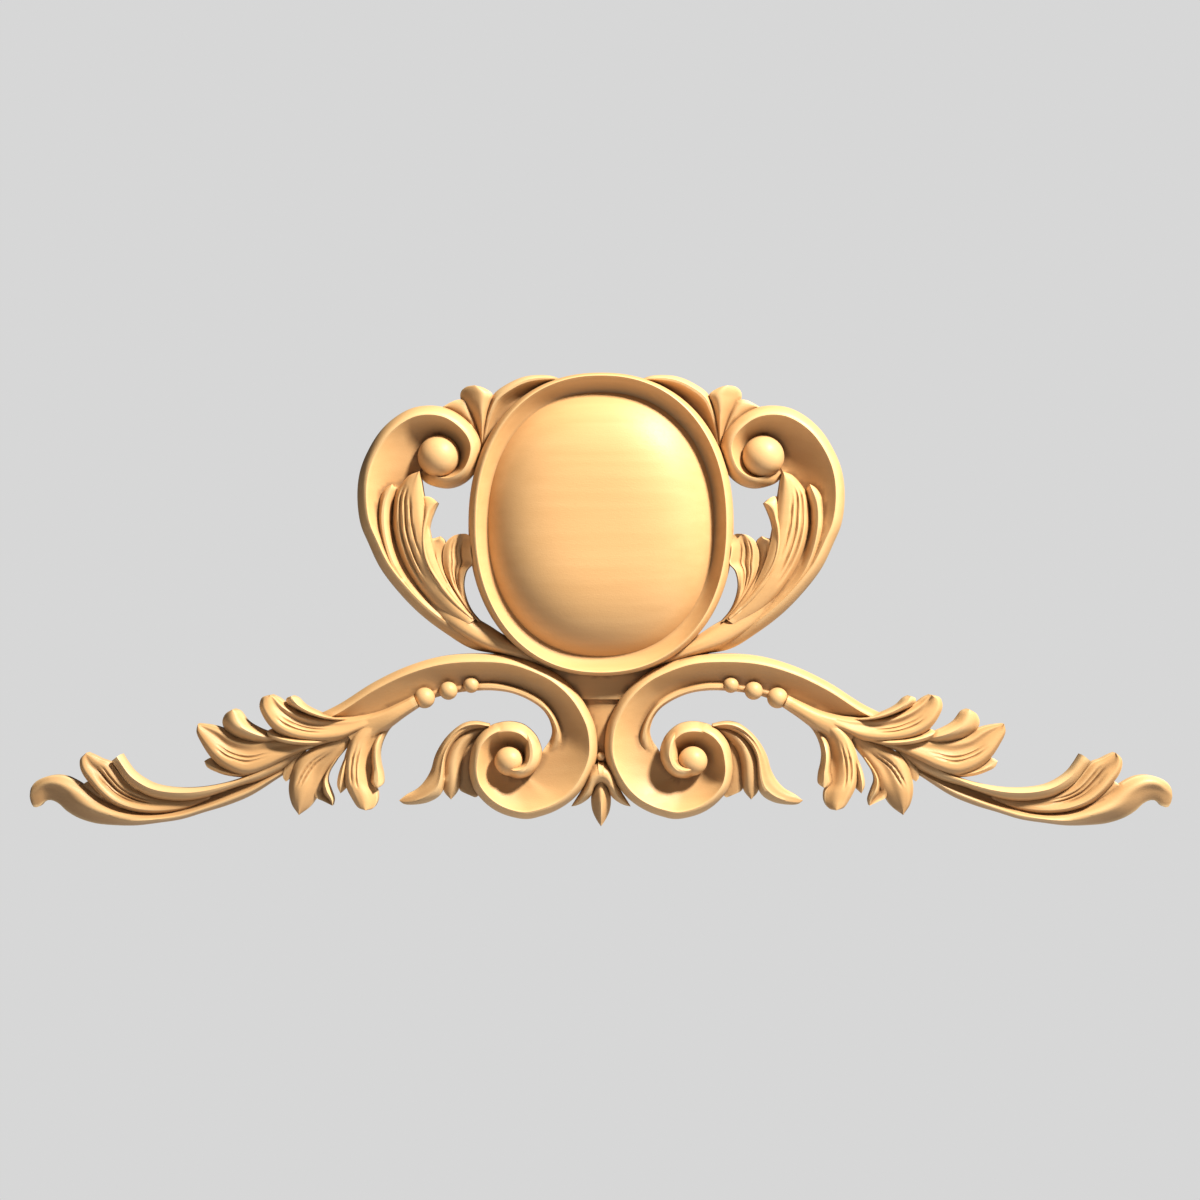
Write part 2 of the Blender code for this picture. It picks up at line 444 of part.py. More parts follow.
def spray_leaves():
    """The stem after the beads, two drooping leaves and a rising one."""
    relief = SPRAY_RELIEF
    leaf("stem", SPRAY, relief,
         [(266, -190), (250, -191.5), (236, -190), (220, -185.8), (204, -178.9), (187, -170.5)],
         [(238, -232), (229, -222), (222, -212), (211.5, -204), (197, -193), (181.5, -182.5)],
         [[0.40, 0.64, 0.72, 0.75, 0.72, 0.64, 0.40], [0.53, 0.76, 0.81, 0.83, 0.81, 0.75, 0.50],
          [0.62, 0.84, 0.90, 0.91, 0.90, 0.84, 0.60],
           [0.64, 0.84, 0.88, 0.89, 0.88, 0.84, 0.62]], grade=1.0)
    leaf("droop_p_right", SPRAY, relief,
         [(222, -262.5), (218, -259.5), (217.8, -250), (220.4, -238), (221, -228), (218, -216), (211, -204),
          (200, -195)],
         [(222, -262.5), (226.5, -261), (230, -256), (229, -246), (229.5, -232), (228, -218),
          (222, -206), (208, -194)],
         [[0.88, 0.92, 0.94, 0.92, 0.86], [0.70, 0.94, 0.96, 0.90, 0.62], [0.62, 0.90, 0.92, 0.82, 0.60],
          [0.46, 0.58, 0.62, 0.58, 0.48], [0.28, 0.32, 0.34, 0.32, 0.30]])
    leaf("droop_p_main", SPRAY, relief,
         [(234, -284.8), (227.5, -283.3), (223.4, -276.5), (223.3, -267), (227, -259), (228, -246),
          (228, -230),
          (224, -215), (214, -202), (200, -190)],
         [(234, -284.8), (241.5, -282.6), (247.6, -274.5), (254, -262), (257, -248), (256.5, -235),
          (253, -222),
          (248.5, -211), (236, -198), (216, -188)],
         [[0.84, 0.92, 0.96, 0.98, 0.96, 0.92, 0.84], [0.72, 0.80, 0.92, 0.98, 0.98, 0.94, 0.74],
          [0.62, 0.66, 0.80, 0.90, 0.92, 0.88, 0.68], [0.62, 0.68, 0.78, 0.84, 0.84, 0.80, 0.66],
          [0.50, 0.63, 0.70, 0.72, 0.70, 0.65, 0.52]])
    leaf("droop_p_left", SPRAY, relief,
         [(260, -268.5), (254, -262), (251, -250), (250, -238), (247, -226), (240, -212)],
         [(260, -268.5), (263.3, -261), (262.7, -252), (259.5, -241), (254, -228), (249, -215)],
         [[0.64, 0.68, 0.70, 0.70, 0.64], [0.58, 0.68, 0.84, 0.86, 0.60], [0.58, 0.68, 0.78, 0.76, 0.56],
          [0.46, 0.52, 0.56, 0.54, 0.46]])
    leaf("droop_q_main", SPRAY, relief,
         [(302, -290.4), (291.5, -282.5), (284, -272), (278, -260), (273, -247), (265, -236), (256, -225),
          (247, -213), (236, -204)],
         [(302, -290.4), (309, -280), (312.2, -266), (311, -253), (307.5, -241), (300, -230.5), (286, -222),
          (266, -213), (244, -204)],
         [[0.50, 0.54, 0.56, 0.58, 0.56, 0.54, 0.48], [0.54, 0.62, 0.68, 0.74, 0.74, 0.68, 0.48],
          [0.56, 0.62, 0.60, 0.66, 0.70, 0.66, 0.50], [0.56, 0.64, 0.66, 0.68, 0.68, 0.64, 0.54],
          [0.50, 0.56, 0.58, 0.60, 0.58, 0.56, 0.50]])
    leaf("droop_q_right", SPRAY, relief,
         [(268.3, -280.8), (267.3, -275), (270.5, -265), (273.5, -256), (272, -248), (266, -238),
          (258, -226)],
         [(268.3, -280.8), (277, -276.5), (285, -272), (284, -262), (280, -252), (273, -240), (262, -228)],
         [[0.62, 0.62, 0.60, 0.60, 0.60], [0.70, 0.80, 0.50, 0.58, 0.60], [0.64, 0.76, 0.56, 0.60, 0.58],
          [0.48, 0.52, 0.52, 0.50, 0.46]])
    leaf("droop_q_left", SPRAY, relief,
         [(315, -257), (309, -252), (306, -240), (297, -228), (280, -214)],
         [(315, -257), (318, -253), (317, -245), (309, -234), (296, -223), (280, -212)],
         [[0.48, 0.48, 0.48, 0.48, 0.48], [0.46, 0.52, 0.52, 0.50, 0.42], [0.46, 0.50, 0.50, 0.48, 0.44]])
    leaf("rise_r_top", SPRAY, relief,
         [(308, -171), (303, -173.3), (296, -180), (280, -188), (264, -192), (246, -193)],
         [(308, -171), (313, -173), (313.8, -177), (302, -186), (284, -193), (264, -197), (246, -198)],
         [[0.88, 0.94, 0.96, 0.92, 0.86], [0.70, 1.00, 0.98, 0.82, 0.62], [0.60, 0.90, 0.90, 0.76, 0.58],
          [0.46, 0.60, 0.62, 0.56, 0.46]])
    leaf("rise_r_main", SPRAY, relief,
         [(329, -170), (322.5, -173), (313, -180), (300, -186.5), (282, -191.5), (264, -192.5), (240, -191),
          (220, -186), (204, -179.5)],
         [(329, -170), (337.5, -172.5), (340.3, -181), (337, -191), (328.5, -203), (316, -211.5),
          (300, -216.5),
          (282, -218), (262, -215.5), (246, -209), (228, -203), (212, -194)],
         [[0.84, 0.90, 0.94, 0.98, 0.98, 0.94, 0.86], [0.64, 0.86, 0.80, 0.90, 0.96, 0.96, 0.74],
          [0.62, 0.76, 0.76, 0.84, 0.90, 0.88, 0.68], [0.60, 0.76, 0.80, 0.84, 0.86, 0.82, 0.66],
          [0.48, 0.63, 0.69, 0.73, 0.71, 0.66, 0.50]])
    leaf("rise_r_low", SPRAY, relief,
         [(333.5, -206.5), (329, -204), (318, -206), (302, -209), (282, -211), (262, -211)],
         [(333.5, -206.5), (332, -211.5), (325, -215.5), (312, -219), (296, -220.8), (278, -219.8),
          (258, -214.5)],
         [[0.66, 0.70, 0.74, 0.72, 0.68], [0.56, 0.66, 0.84, 0.90, 0.66], [0.60, 0.72, 0.84, 0.84, 0.62],
          [0.50, 0.60, 0.64, 0.62, 0.52]])


def tail_leaves():
    """The second rising leaf, the curled tail and the leaf that lies on it."""
    relief = SECOND_SPRAY_RELIEF
    leaf("rise_s_top", SPRAY, relief,
         [(367, -184.3), (361.5, -186.5), (353.5, -196.5), (342, -203.5), (330, -208), (314, -212)],
         [(367, -184.3), (374.8, -189), (378.3, -197), (375.8, -205), (367, -212.5), (353, -218.5),
          (336, -221), (316, -218)],
         [[0.84, 0.90, 0.92, 0.90, 0.82], [0.72, 1.00, 1.00, 0.84, 0.58], [0.66, 0.90, 0.88, 0.72, 0.54],
          [0.48, 0.58, 0.60, 0.54, 0.46]])
    leaf("rise_s_main", SPRAY, relief,
         [(402.5, -199), (390, -200.5), (379, -203.5), (366, -210.5), (350, -213), (334, -211.5),
          (314, -213),
          (292, -214), (266, -211)],
         [(402.5, -199), (404, -207), (398.3, -220), (388.8, -234), (374.5, -245.8), (360, -252),
          (350, -251.8),
          (335, -246), (319, -237), (300.6, -228), (282, -222), (262, -216)],
         [[0.66, 0.70, 0.74, 0.78, 0.78, 0.76, 0.70], [0.60, 0.76, 0.70, 0.82, 0.90, 0.88, 0.62],
          [0.60, 0.74, 0.74, 0.82, 0.88, 0.86, 0.62], [0.60, 0.72, 0.76, 0.80, 0.82, 0.78, 0.60],
          [0.52, 0.60, 0.64, 0.66, 0.64, 0.60, 0.52]])
    leaf("rise_s_low", SPRAY, relief,
         [(396.8, -236.5), (391, -233.5), (378, -239), (362, -244), (340, -242)],
         [(396.8, -236.5), (394, -242.5), (384, -247.8), (374, -251), (356, -252.5), (338, -247)],
         [[0.54, 0.56, 0.56, 0.56, 0.54], [0.48, 0.56, 0.68, 0.72, 0.52], [0.52, 0.62, 0.70, 0.68, 0.54]])
    leaf("tail", SPRAY, TAIL_RELIEF,
         [(572, -272), (571, -264.5), (566, -257.5), (557, -252.8), (546, -250.7), (535, -252),
          (523.5, -257.4),
          (512, -265), (500, -272), (484, -279), (466, -283), (444, -284.5), (415, -279), (397, -273.5),
          (370, -261.5), (346, -252.5), (322, -242.5), (300, -232)],
         [(572, -272), (571, -277.5), (567.5, -283), (561.5, -281.5), (557.5, -277.3), (551, -275.8),
          (543.5, -279), (535, -286.8), (523.5, -293.7), (507, -299), (488, -301), (466, -301.3),
          (443, -298.6),
          (420, -295), (397, -288), (374, -281), (351, -271.5), (325, -255), (302, -240)],
         [[0.50, 0.52, 0.54, 0.52, 0.50], [0.64, 0.88, 0.74, 0.62, 0.46], [0.50, 0.78, 0.96, 0.74, 0.40],
          [0.42, 0.60, 0.84, 0.90, 0.42], [0.44, 0.52, 0.66, 0.84, 0.44], [0.46, 0.52, 0.66, 0.78, 0.46],
          [0.46, 0.54, 0.62, 0.70, 0.46], [0.44, 0.50, 0.52, 0.54, 0.44]], grade=1.0)
    leaf("tail_leaf_low", SPRAY, TAIL_RELIEF,
         [(520, -261), (512, -256.5), (502, -264), (488, -273), (470, -281), (450, -284)],
         [(520, -261), (516.5, -266), (505.5, -274), (489.5, -281.5), (472, -287), (450, -290)],
         [[0.54, 0.56, 0.56, 0.56, 0.54], [0.52, 0.60, 0.66, 0.62, 0.50], [0.50, 0.58, 0.62, 0.58, 0.48]])
    leaf("tail_leaf_top", SPRAY, TAIL_RELIEF,
         [(479.8, -229.6), (474.5, -238), (468, -246.5), (459, -253.5), (447, -259.5), (431, -262.8),
          (408.5, -263.4), (385, -260.3), (362, -254), (346, -246), (325, -234), (300, -220)],
         [(488.8, -236.2), (483.5, -244), (475, -256), (464, -265), (450, -272), (434, -275.4), (415, -276),
          (397, -273.2), (378.6, -267.5), (362, -261.8), (342, -256), (322, -247), (302, -236)],
         [[0.92, 1.06, 1.04, 0.98, 0.84], [0.84, 1.10, 1.04, 0.96, 0.74], [0.76, 1.00, 0.98, 0.92, 0.70],
          [0.70, 0.90, 0.92, 0.86, 0.64], [0.60, 0.72, 0.74, 0.70, 0.56]], grade=1.0)
    leaf("tail_leaf_main", SPRAY, TAIL_RELIEF,
         [(514, -228), (507, -231), (500, -234.5), (491, -238), (483.5, -247), (474, -258.5), (460, -267),
          (440, -272), (414, -273), (390, -267)],
         [(514, -228), (520, -234), (520.5, -242), (517.5, -250), (511, -259), (502.5, -268.6), (489, -279),
          (475, -284.8), (459, -288.2), (440, -288.6), (416, -284.8), (392, -276)],
         [[0.84, 0.86, 0.88, 0.90, 0.92, 0.90, 0.86], [0.70, 0.86, 0.86, 0.78, 0.94, 1.00, 0.74],
          [0.62, 0.74, 0.76, 0.74, 0.88, 0.94, 0.68], [0.56, 0.66, 0.72, 0.74, 0.76, 0.76, 0.60],
          [0.44, 0.50, 0.52, 0.54, 0.54, 0.52, 0.44]])


def centre_panel():
    """The plain panel between the volutes, with its knob, calyx and drop."""
    def middle(name, relief, edge, table):
        """A strip that spans from its edge line to the mirror image of it."""
        steps = max(6, round(line_length(edge) * LOWER.size / ROW_SPACING))
        places = np.arange(steps + 1) / steps
        line = LOWER.real(edge_line(edge, places))
        other = line * (-1, 1)
        along = hermite(np.linspace(0, 1, len(table)), table, places)
        shares = np.linspace(0, 1, len(table[0]))
        sheet(name, line, other, np.tile(shares, (steps + 1, 1)), along * relief)

    panel = PANEL_HEIGHT
    middle("panel_upper", panel, [(60, -136), (50, -152), (38, -164), (30, -174.5)],
           [[0.8, 0.95, 1.0, 0.95, 0.8], [0.82, 0.97, 1.0, 0.97, 0.82], [0.84, 0.94, 0.97, 0.94, 0.84]])
    middle("panel_lower", panel, [(32, -170), (26, -180), (18, -196), (13, -220), (12, -250), (14, -262)],
           [[0.68, 0.76, 0.80, 0.76, 0.68], [0.68, 0.79, 0.83, 0.79, 0.68], [0.62, 0.74, 0.77, 0.74, 0.62],
            [0.60, 0.72, 0.75, 0.72, 0.60]])
    drop = DROP_RELIEF
    middle("drop", drop, [(0, -301.7), (4, -296), (8.5, -286.5), (10, -276), (9, -266), (6, -258), (5, -250)],
           [[0.6, 0.6, 0.6, 0.6, 0.6], [0.5, 0.70, 0.86, 0.70, 0.5], [0.56, 0.80, 0.92, 0.80, 0.56],
            [0.6, 0.72, 0.78, 0.72, 0.6]])
    leaf("calyx", LOWER, drop,
         [(29.5, -282), (24.5, -274), (19.6, -266), (15.8, -255.5), (12.6, -246.5), (8, -240), (-3, -237)],
         [(29.5, -282), (24, -280.8), (16.5, -277), (10, -271), (6.5, -262.5), (2.5, -258), (-2, -256.5)],
         [[0.50, 0.52, 0.54, 0.52, 0.50], [0.56, 0.74, 0.80, 0.76, 0.60], [0.62, 0.88, 0.96, 0.90, 0.68],
          [0.70, 0.98, 1.06, 1.02, 0.80], [0.72, 1.00, 1.08, 1.06, 0.88]])
    ball("knob", LOWER.real((0, -231.5)), KNOB_DIAMETER, KNOB_TOP_HEIGHT, KNOB_SEGMENTS)


def fused(parts):
    """One closed solid from all the carved strips, cut flat at the back."""
    body, others = parts[0], parts[1:]
    group = bpy.data.collections.new("carved_strips")
    for part in others:
        group.objects.link(part)
    union = body.modifiers.new("Union", "BOOLEAN")
    union.operation = "UNION"
    union.operand_type = "COLLECTION"
    union.collection = group
    union.solver = "EXACT"
    slab_mesh = bmesh.new()
    bmesh.ops.create_cube(slab_mesh, size=SLAB_SIZE)
    bmesh.ops.translate(slab_mesh, verts=slab_mesh.verts, vec=(0, SLAB_SIZE / 2, 0))
    slab = solid(slab_mesh, "back_slab")
    slab.hide_render = True
    slab.display_type = "WIRE"
    cut = body.modifiers.new("FlatBack", "BOOLEAN")
    cut.operation = "DIFFERENCE"
    cut.object = slab
    cut.solver = "EXACT"
    lighter = body.modifiers.new("Lighter", "DECIMATE")
    lighter.decimate_type = "COLLAPSE"
    lighter.ratio = TRIANGLE_SHARE
    lighter.use_collapse_triangulate = True
    bpy.context.view_layer.update()
    graph = bpy.context.evaluated_depsgraph_get()
    return bpy.data.meshes.new_from_object(body.evaluated_get(graph))


def seal(mesh):
    """Weld the fused mesh, and take off bare edges and slivers that hang on by one edge only."""
    shell = bmesh.new()
    shell.from_mesh(mesh)
    bmesh.ops.triangulate(shell, faces=shell.faces)
    bmesh.ops.dissolve_degenerate(shell, dist=WELD, edges=shell.edges)
    bmesh.ops.remove_doubles(shell, verts=shell.verts, dist=WELD)
    loose = [face for face in shell.faces if sum(edge.is_boundary for edge in face.edges) > 1]
    while loose:
        bmesh.ops.delete(shell, geom=loose, context="FACES")
        loose = [face for face in shell.faces if sum(edge.is_boundary for edge in face.edges) > 1]
    bmesh.ops.delete(shell, geom=[edge for edge in shell.edges if edge.is_wire], context="EDGES")
    shell.to_mesh(mesh)
    open_edges = sum(not edge.is_manifold for edge in shell.edges)
    print("triangles", len(shell.faces), "open edges", open_edges)
    shell.free()


def wood():
    """The plain material of the solid."""
    material = bpy.data.materials.new("carved_wood")
    material.use_nodes = True
    shader = material.node_tree.nodes["Principled BSDF"]
    shader.inputs["Base Color"].default_value = (0.66, 0.38, 0.17, 1)
    shader.inputs["Roughness"].default_value = 0.55
    shader.inputs["Metallic"].default_value = 0.0
    return material


for item in list(bpy.data.objects):
    bpy.data.objects.remove(item, do_unlink=True)

oval_boss()
upper_scroll()
upper_leaf()
top_leaves()
arch_and_volute()
volute_leaves()
spray_leaves()
tail_leaves()
centre_panel()
shape = fused(carved[:])
for item in list(bpy.data.objects):
    bpy.data.objects.remove(item, do_unlink=True)
seal(shape)
shape.shade_smooth()
shape.set_sharp_from_angle(angle=SHARP_ANGLE)
cartouche = bpy.data.objects.new("carved_cartouche", shape)
bpy.context.scene.collection.objects.link(cartouche)
cartouche.data.materials.clear()
cartouche.data.materials.append(wood())
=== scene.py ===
# %% [markdown]
# # Carved cartouche
# This notebook dresses one carved wooden overlay: a blank domed oval in a moulded rim, with
# scrolls, volutes, leaves and curled tails mirrored about its centre line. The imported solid
# is coarse, so a finer carving of the same forms takes its place and gets a wood finish.

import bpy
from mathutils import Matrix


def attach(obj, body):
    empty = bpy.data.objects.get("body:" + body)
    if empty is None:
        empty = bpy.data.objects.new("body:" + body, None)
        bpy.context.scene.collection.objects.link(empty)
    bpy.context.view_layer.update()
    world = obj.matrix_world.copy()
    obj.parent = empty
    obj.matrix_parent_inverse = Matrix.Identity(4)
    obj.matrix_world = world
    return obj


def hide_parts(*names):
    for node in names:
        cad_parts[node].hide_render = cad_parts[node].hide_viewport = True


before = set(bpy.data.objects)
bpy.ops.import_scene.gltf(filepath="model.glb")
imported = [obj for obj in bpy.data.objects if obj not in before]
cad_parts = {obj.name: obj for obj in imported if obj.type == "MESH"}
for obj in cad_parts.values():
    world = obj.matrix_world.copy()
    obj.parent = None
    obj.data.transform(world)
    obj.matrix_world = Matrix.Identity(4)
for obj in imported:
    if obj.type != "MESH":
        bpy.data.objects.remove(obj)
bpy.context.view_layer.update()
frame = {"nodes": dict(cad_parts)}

import math

import bmesh
import bpy
import numpy as np
from mathutils import Vector

# %% [markdown]
# ## Sizes
# A carver works from a full-size drawing on squared paper. Here one square is 0.7 mm, x runs
# outward from the centre line and z runs up from the middle of the oval. Heights are the
# relief in millimetres above the flat back. They repeat the solid's own sizes, because the
# finer carving has to fill the same form. The sizes that only say how finely it is cut are
# smaller than the solid's.

# %% The driving sizes, in millimetres
MM = 0.001
OVAL_WIDTH = 185.0
OVAL_HEIGHT = 211.5
OVAL_EDGE_HEIGHT = 20.0
OVAL_CREST_HEIGHT = 30.0
OVAL_CREST_INSET = 5.4
OVAL_END_CREST_INSET = 2.6
GROOVE_HEIGHT = 18.0
GROOVE_INSET = 13.6
COVE_FULLNESS = 1.6
DOME_HEIGHT = 40.0
OVAL_SQUARENESS = 2.2
DOME_FULLNESS = 4.0
SCROLL_HEIGHT = 173.6
SCROLL_RELIEF = 28.0
SCROLL_RIM_WIDTH = 7.0
BALL_DIAMETER = 29.6
BALL_TOP_HEIGHT = 28.0
BALL_BED_HEIGHT = 11.5
UPPER_LEAF_RELIEF = 30.0
TOP_LEAF_RELIEF = 23.0
VOLUTE_HEIGHT = 115.5
ARCH_RELIEF = 26.0
ARCH_RIM_WIDTH = 5.6
TURN_RIM_WIDTH = 6.2
ARCH_FLOOR_HEIGHT = 13.0
FILLET_HEIGHT = 18.5
EYE_DIAMETER = 20.5
EYE_HEIGHT = 29.0
FIRST_BEAD_DIAMETER = 14.6
LAST_BEAD_DIAMETER = 11.0
BEAD_TOP_HEIGHT = 22.5
SIDE_LEAF_RELIEF = 20.0
SPRAY_LENGTH = 271.6
SPRAY_RELIEF = 26.0
SECOND_SPRAY_RELIEF = 22.0
TAIL_RELIEF = 18.0
PANEL_HEIGHT = 17.0
DROP_RELIEF = 22.0
KNOB_DIAMETER = 6.0
KNOB_TOP_HEIGHT = 19.0

# %% How finely the carving is cut, in millimetres and in counts of points
CUT_STEP = 2.0
CUT_WIDTH = 1.7
VEIN_STEP = 1.5
VEIN_WIDTH = 0.75
LINE_SAMPLES = 24
OVAL_STEPS = 180
BED_STEPS = 31
PANEL_COLUMNS = 17
BALL_SEGMENTS = 40
KNOB_SEGMENTS = 16
RIM_POINTS = 6
COVE_POINTS = 14
FEWEST_STEPS = 10
FEWEST_COLUMNS = 7
FEWEST_PANEL_STEPS = 6

# %% How the strips reach past the back and are joined: millimetres, then metres and degrees
BACK_ALLOWANCE = 1.0
BACK_STAGGER = 0.07
TIP_WIDTH = 1e-6
MERGE_DISTANCE = 1e-7
WELD = 2e-6
SLAB_SIZE = 2.0
SHARP_ANGLE = 38.0

# %% [markdown]
# ## Smooth lines through a few points
# A leaf's edge is a soft curve. Blender's curve objects could draw it, but a strip needs two
# edges read at matching places, so a short spline function is easier to steer. It passes
# through each point and weighs its slopes by the spacing, so close points make tight bends.

# %% A smooth line, and the same line read at shares of its length
SHORTEST_CHORD = 1e-9


def hermite(knots, values, at):
    knots = np.asarray(knots, float)
    values = np.asarray(values, float)
    at = np.clip(np.asarray(at, float), knots[0], knots[-1])
    spacing = np.diff(knots).reshape((-1,) + (1,) * (values.ndim - 1))
    slopes = np.diff(values, axis=0) / spacing
    tangents = np.empty_like(values)
    tangents[0] = slopes[0]
    tangents[-1] = slopes[-1]
    tangents[1:-1] = (slopes[:-1] * spacing[1:] + slopes[1:] * spacing[:-1]) / (spacing[1:] + spacing[:-1])
    span = np.clip(np.searchsorted(knots, at, side="right") - 1, 0, len(knots) - 2)
    gap = spacing[span]
    u = (at - knots[span]).reshape((-1,) + (1,) * (values.ndim - 1)) / gap
    start = (1 + 2 * u) * (1 - u) ** 2 * values[span] + u * (1 - u) ** 2 * gap * tangents[span]
    finish = u ** 2 * (3 - 2 * u) * values[span + 1] + u ** 2 * (u - 1) * gap * tangents[span + 1]
    return start + finish


def chord_knots(points):
    steps = np.linalg.norm(np.diff(points, axis=0), axis=1)
    return np.concatenate([[0.0], np.cumsum(np.sqrt(np.maximum(steps, SHORTEST_CHORD)))])


def line_length(points):
    return np.linalg.norm(np.diff(np.asarray(points, float), axis=0), axis=1).sum()


def edge_line(points, places):
    points = np.asarray(points, float)
    knots = chord_knots(points)
    fine = hermite(knots, points, np.linspace(0, knots[-1], LINE_SAMPLES * len(points)))
    length = np.concatenate([[0.0], np.cumsum(np.linalg.norm(np.diff(fine, axis=0), axis=1))])
    wanted = np.asarray(places) * length[-1]
    return np.column_stack([np.interp(wanted, length, fine[:, i]) for i in range(2)])


# %% [markdown]
# ## Three grounds
# The drawing falls into three parts that grow from one another: the upper scrolls from the
# flank of the oval, the arches and volutes from its foot, and the sprays from the collar at
# the first bead. Each part is scaled about the square where it grows, so its size can change
# and it still meets its neighbour.

# %% Place the three parts of the drawing
class Ground:
    def __init__(self, square, place, size):
        self.square = np.asarray(square, float)
        self.place = np.asarray(place, float)
        self.size = size

    def real(self, points):
        return self.place + (np.asarray(points, float) - self.square) * self.size


ROOTS = {"flank": (132.0, 0.0), "oval foot": (0.0, -151.0), "collar": (184.5, -176.5)}
SQUARES = {"scroll height": 248, "volute height": 165, "spray length": 388}
UPPER = Ground(ROOTS["flank"], (OVAL_WIDTH / 2, 0), SCROLL_HEIGHT / SQUARES["scroll height"])
LOWER = Ground(ROOTS["oval foot"], (0, -OVAL_HEIGHT / 2), VOLUTE_HEIGHT / SQUARES["volute height"])
SPRAY = Ground(ROOTS["collar"], LOWER.real(ROOTS["collar"]), SPRAY_LENGTH / SQUARES["spray length"])
print("one square measures", UPPER.size, LOWER.size, SPRAY.size, "mm")

# %% [markdown]
# ## A strip of carving
# Each leaf finger and moulding is a strip between two edges. It could be sculpted by hand,
# but a grid of points with a height at each is exact and repeatable. Walls go from its edges
# straight down past the back, so that every strip is a closed body that can be fused.

# %% Make closed bodies out of strips, and keep them for the fusing
carved = []


def placed(name, data):
    thing = bpy.data.objects.new(name, data)
    bpy.context.scene.collection.objects.link(thing)
    return thing


def keep(grid, name):
    bmesh.ops.remove_doubles(grid, verts=grid.verts, dist=MERGE_DISTANCE)
    bmesh.ops.recalc_face_normals(grid, faces=grid.faces)
    mesh = bpy.data.meshes.new(name)
    grid.to_mesh(mesh)
    grid.free()
    carved.append(placed(name, mesh))


def sheet(name, near, far, across, heights, mirrored=False):
    rows, columns = heights.shape
    side = -1 if mirrored else 1
    back = (BACK_ALLOWANCE + BACK_STAGGER * len(carved)) * MM
    grid = bmesh.new()
    top = []
    low = []
    for i in range(rows):
        line = []
        for j in range(columns):
            x, z = near[i] + (far[i] - near[i]) * across[i, j]
            line.append(grid.verts.new((side * x * MM, -heights[i, j] * MM, z * MM)))
        top.append(line)
        low.append([grid.verts.new((v.co.x, back, v.co.z)) for v in (line[0], line[-1])])
    for i in range(rows - 1):
        for j in range(columns - 1):
            grid.faces.new((top[i][j], top[i][j + 1], top[i + 1][j + 1], top[i + 1][j]))
        grid.faces.new((top[i][0], top[i + 1][0], low[i + 1][0], low[i][0]))
        grid.faces.new((top[i][-1], low[i][-1], low[i + 1][-1], top[i + 1][-1]))
        grid.faces.new((low[i][0], low[i + 1][0], low[i + 1][1], low[i][1]))
    for i in (0, rows - 1):
        if np.linalg.norm(near[i] - far[i]) > TIP_WIDTH:
            grid.faces.new([low[i][0]] + top[i] + [low[i][1]])
    keep(grid, name)


# %% [markdown]
# ## Veins
# A carver runs a small V-tool along the broad leaves, which leaves thin grooves side by side.
# A bump map would fake them, but real grooves catch the light from every side. A groove is
# given by six numbers: its place across the leaf at its start and at its end, its width and
# its depth in millimetres, and where along the leaf it starts and ends.

# %% The veins of the broad leaves
VEIN_ENTRY = 0.08
VEIN_EXIT = 0.14
VEINS = {
    "upper_leaf_b": [(0.20, 0.28, 3.2, 2.6, 0.10, 0.70), (0.36, 0.44, 2.6, 2.2, 0.12, 0.66),
                     (0.52, 0.62, 2.4, 1.8, 0.16, 0.56)],
    "upper_leaf_c": [(0.46, 0.40, 2.2, 1.7, 0.16, 0.70)],
    "upper_leaf_d": [(0.50, 0.48, 1.8, 1.4, 0.20, 0.66)],
    "upper_leaf_e": [(0.26, 0.34, 1.7, 1.5, 0.12, 0.70), (0.44, 0.50, 1.7, 1.5, 0.12, 0.72),
                     (0.62, 0.66, 1.7, 1.4, 0.14, 0.70)],
    "droop_p_main": [(0.58, 0.50, 2.2, 1.7, 0.24, 0.66), (0.74, 0.66, 2.2, 1.6, 0.27, 0.64)],
    "droop_q_main": [(0.62, 0.34, 2.2, 1.6, 0.26, 0.66), (0.74, 0.48, 2.2, 1.5, 0.26, 0.64)],
    "rise_r_main": [(0.50, 0.46, 2.2, 1.7, 0.20, 0.58), (0.64, 0.58, 2.2, 1.6, 0.20, 0.56)],
    "rise_s_main": [(0.52, 0.48, 2.2, 1.7, 0.20, 0.58), (0.64, 0.58, 2.2, 1.6, 0.20, 0.56)],
    "tail_leaf_main": [(0.30, 0.28, 2.2, 1.8, 0.16, 0.60), (0.46, 0.42, 2.2, 2.0, 0.16, 0.62),
                       (0.62, 0.56, 2.2, 1.8, 0.18, 0.58)],
}


def vein_depth(places, shares, width, vein):
    first, last, groove, depth, start, end = vein
    centre = np.interp(places, [start, end], [first, last])[:, None]
    along = np.clip((places - start) / VEIN_ENTRY, 0, 1) * np.clip((end - places) / VEIN_EXIT, 0, 1)
    across = np.clip(1 - np.abs(shares[None, :] - centre) * width[:, None] / (groove / 2), 0, 1)
    return depth * along[:, None] * across


# %% [markdown]
# ## Leaf fingers
# A finger is drawn from its tip to its root by its two edges. Its table gives one row of
# heights for each station along it, from the near edge to the far one, in hundredths of the
# leaf's relief. Points crowd toward the tip, where the form changes quickly.

# %% A leaf finger and its mirror image
def table_shares(table, places, shares):
    table = np.asarray(table) / 100
    along = hermite(np.linspace(0, 1, len(table)), table, places)
    return hermite(np.linspace(0, 1, table.shape[1]), along.T, shares).T


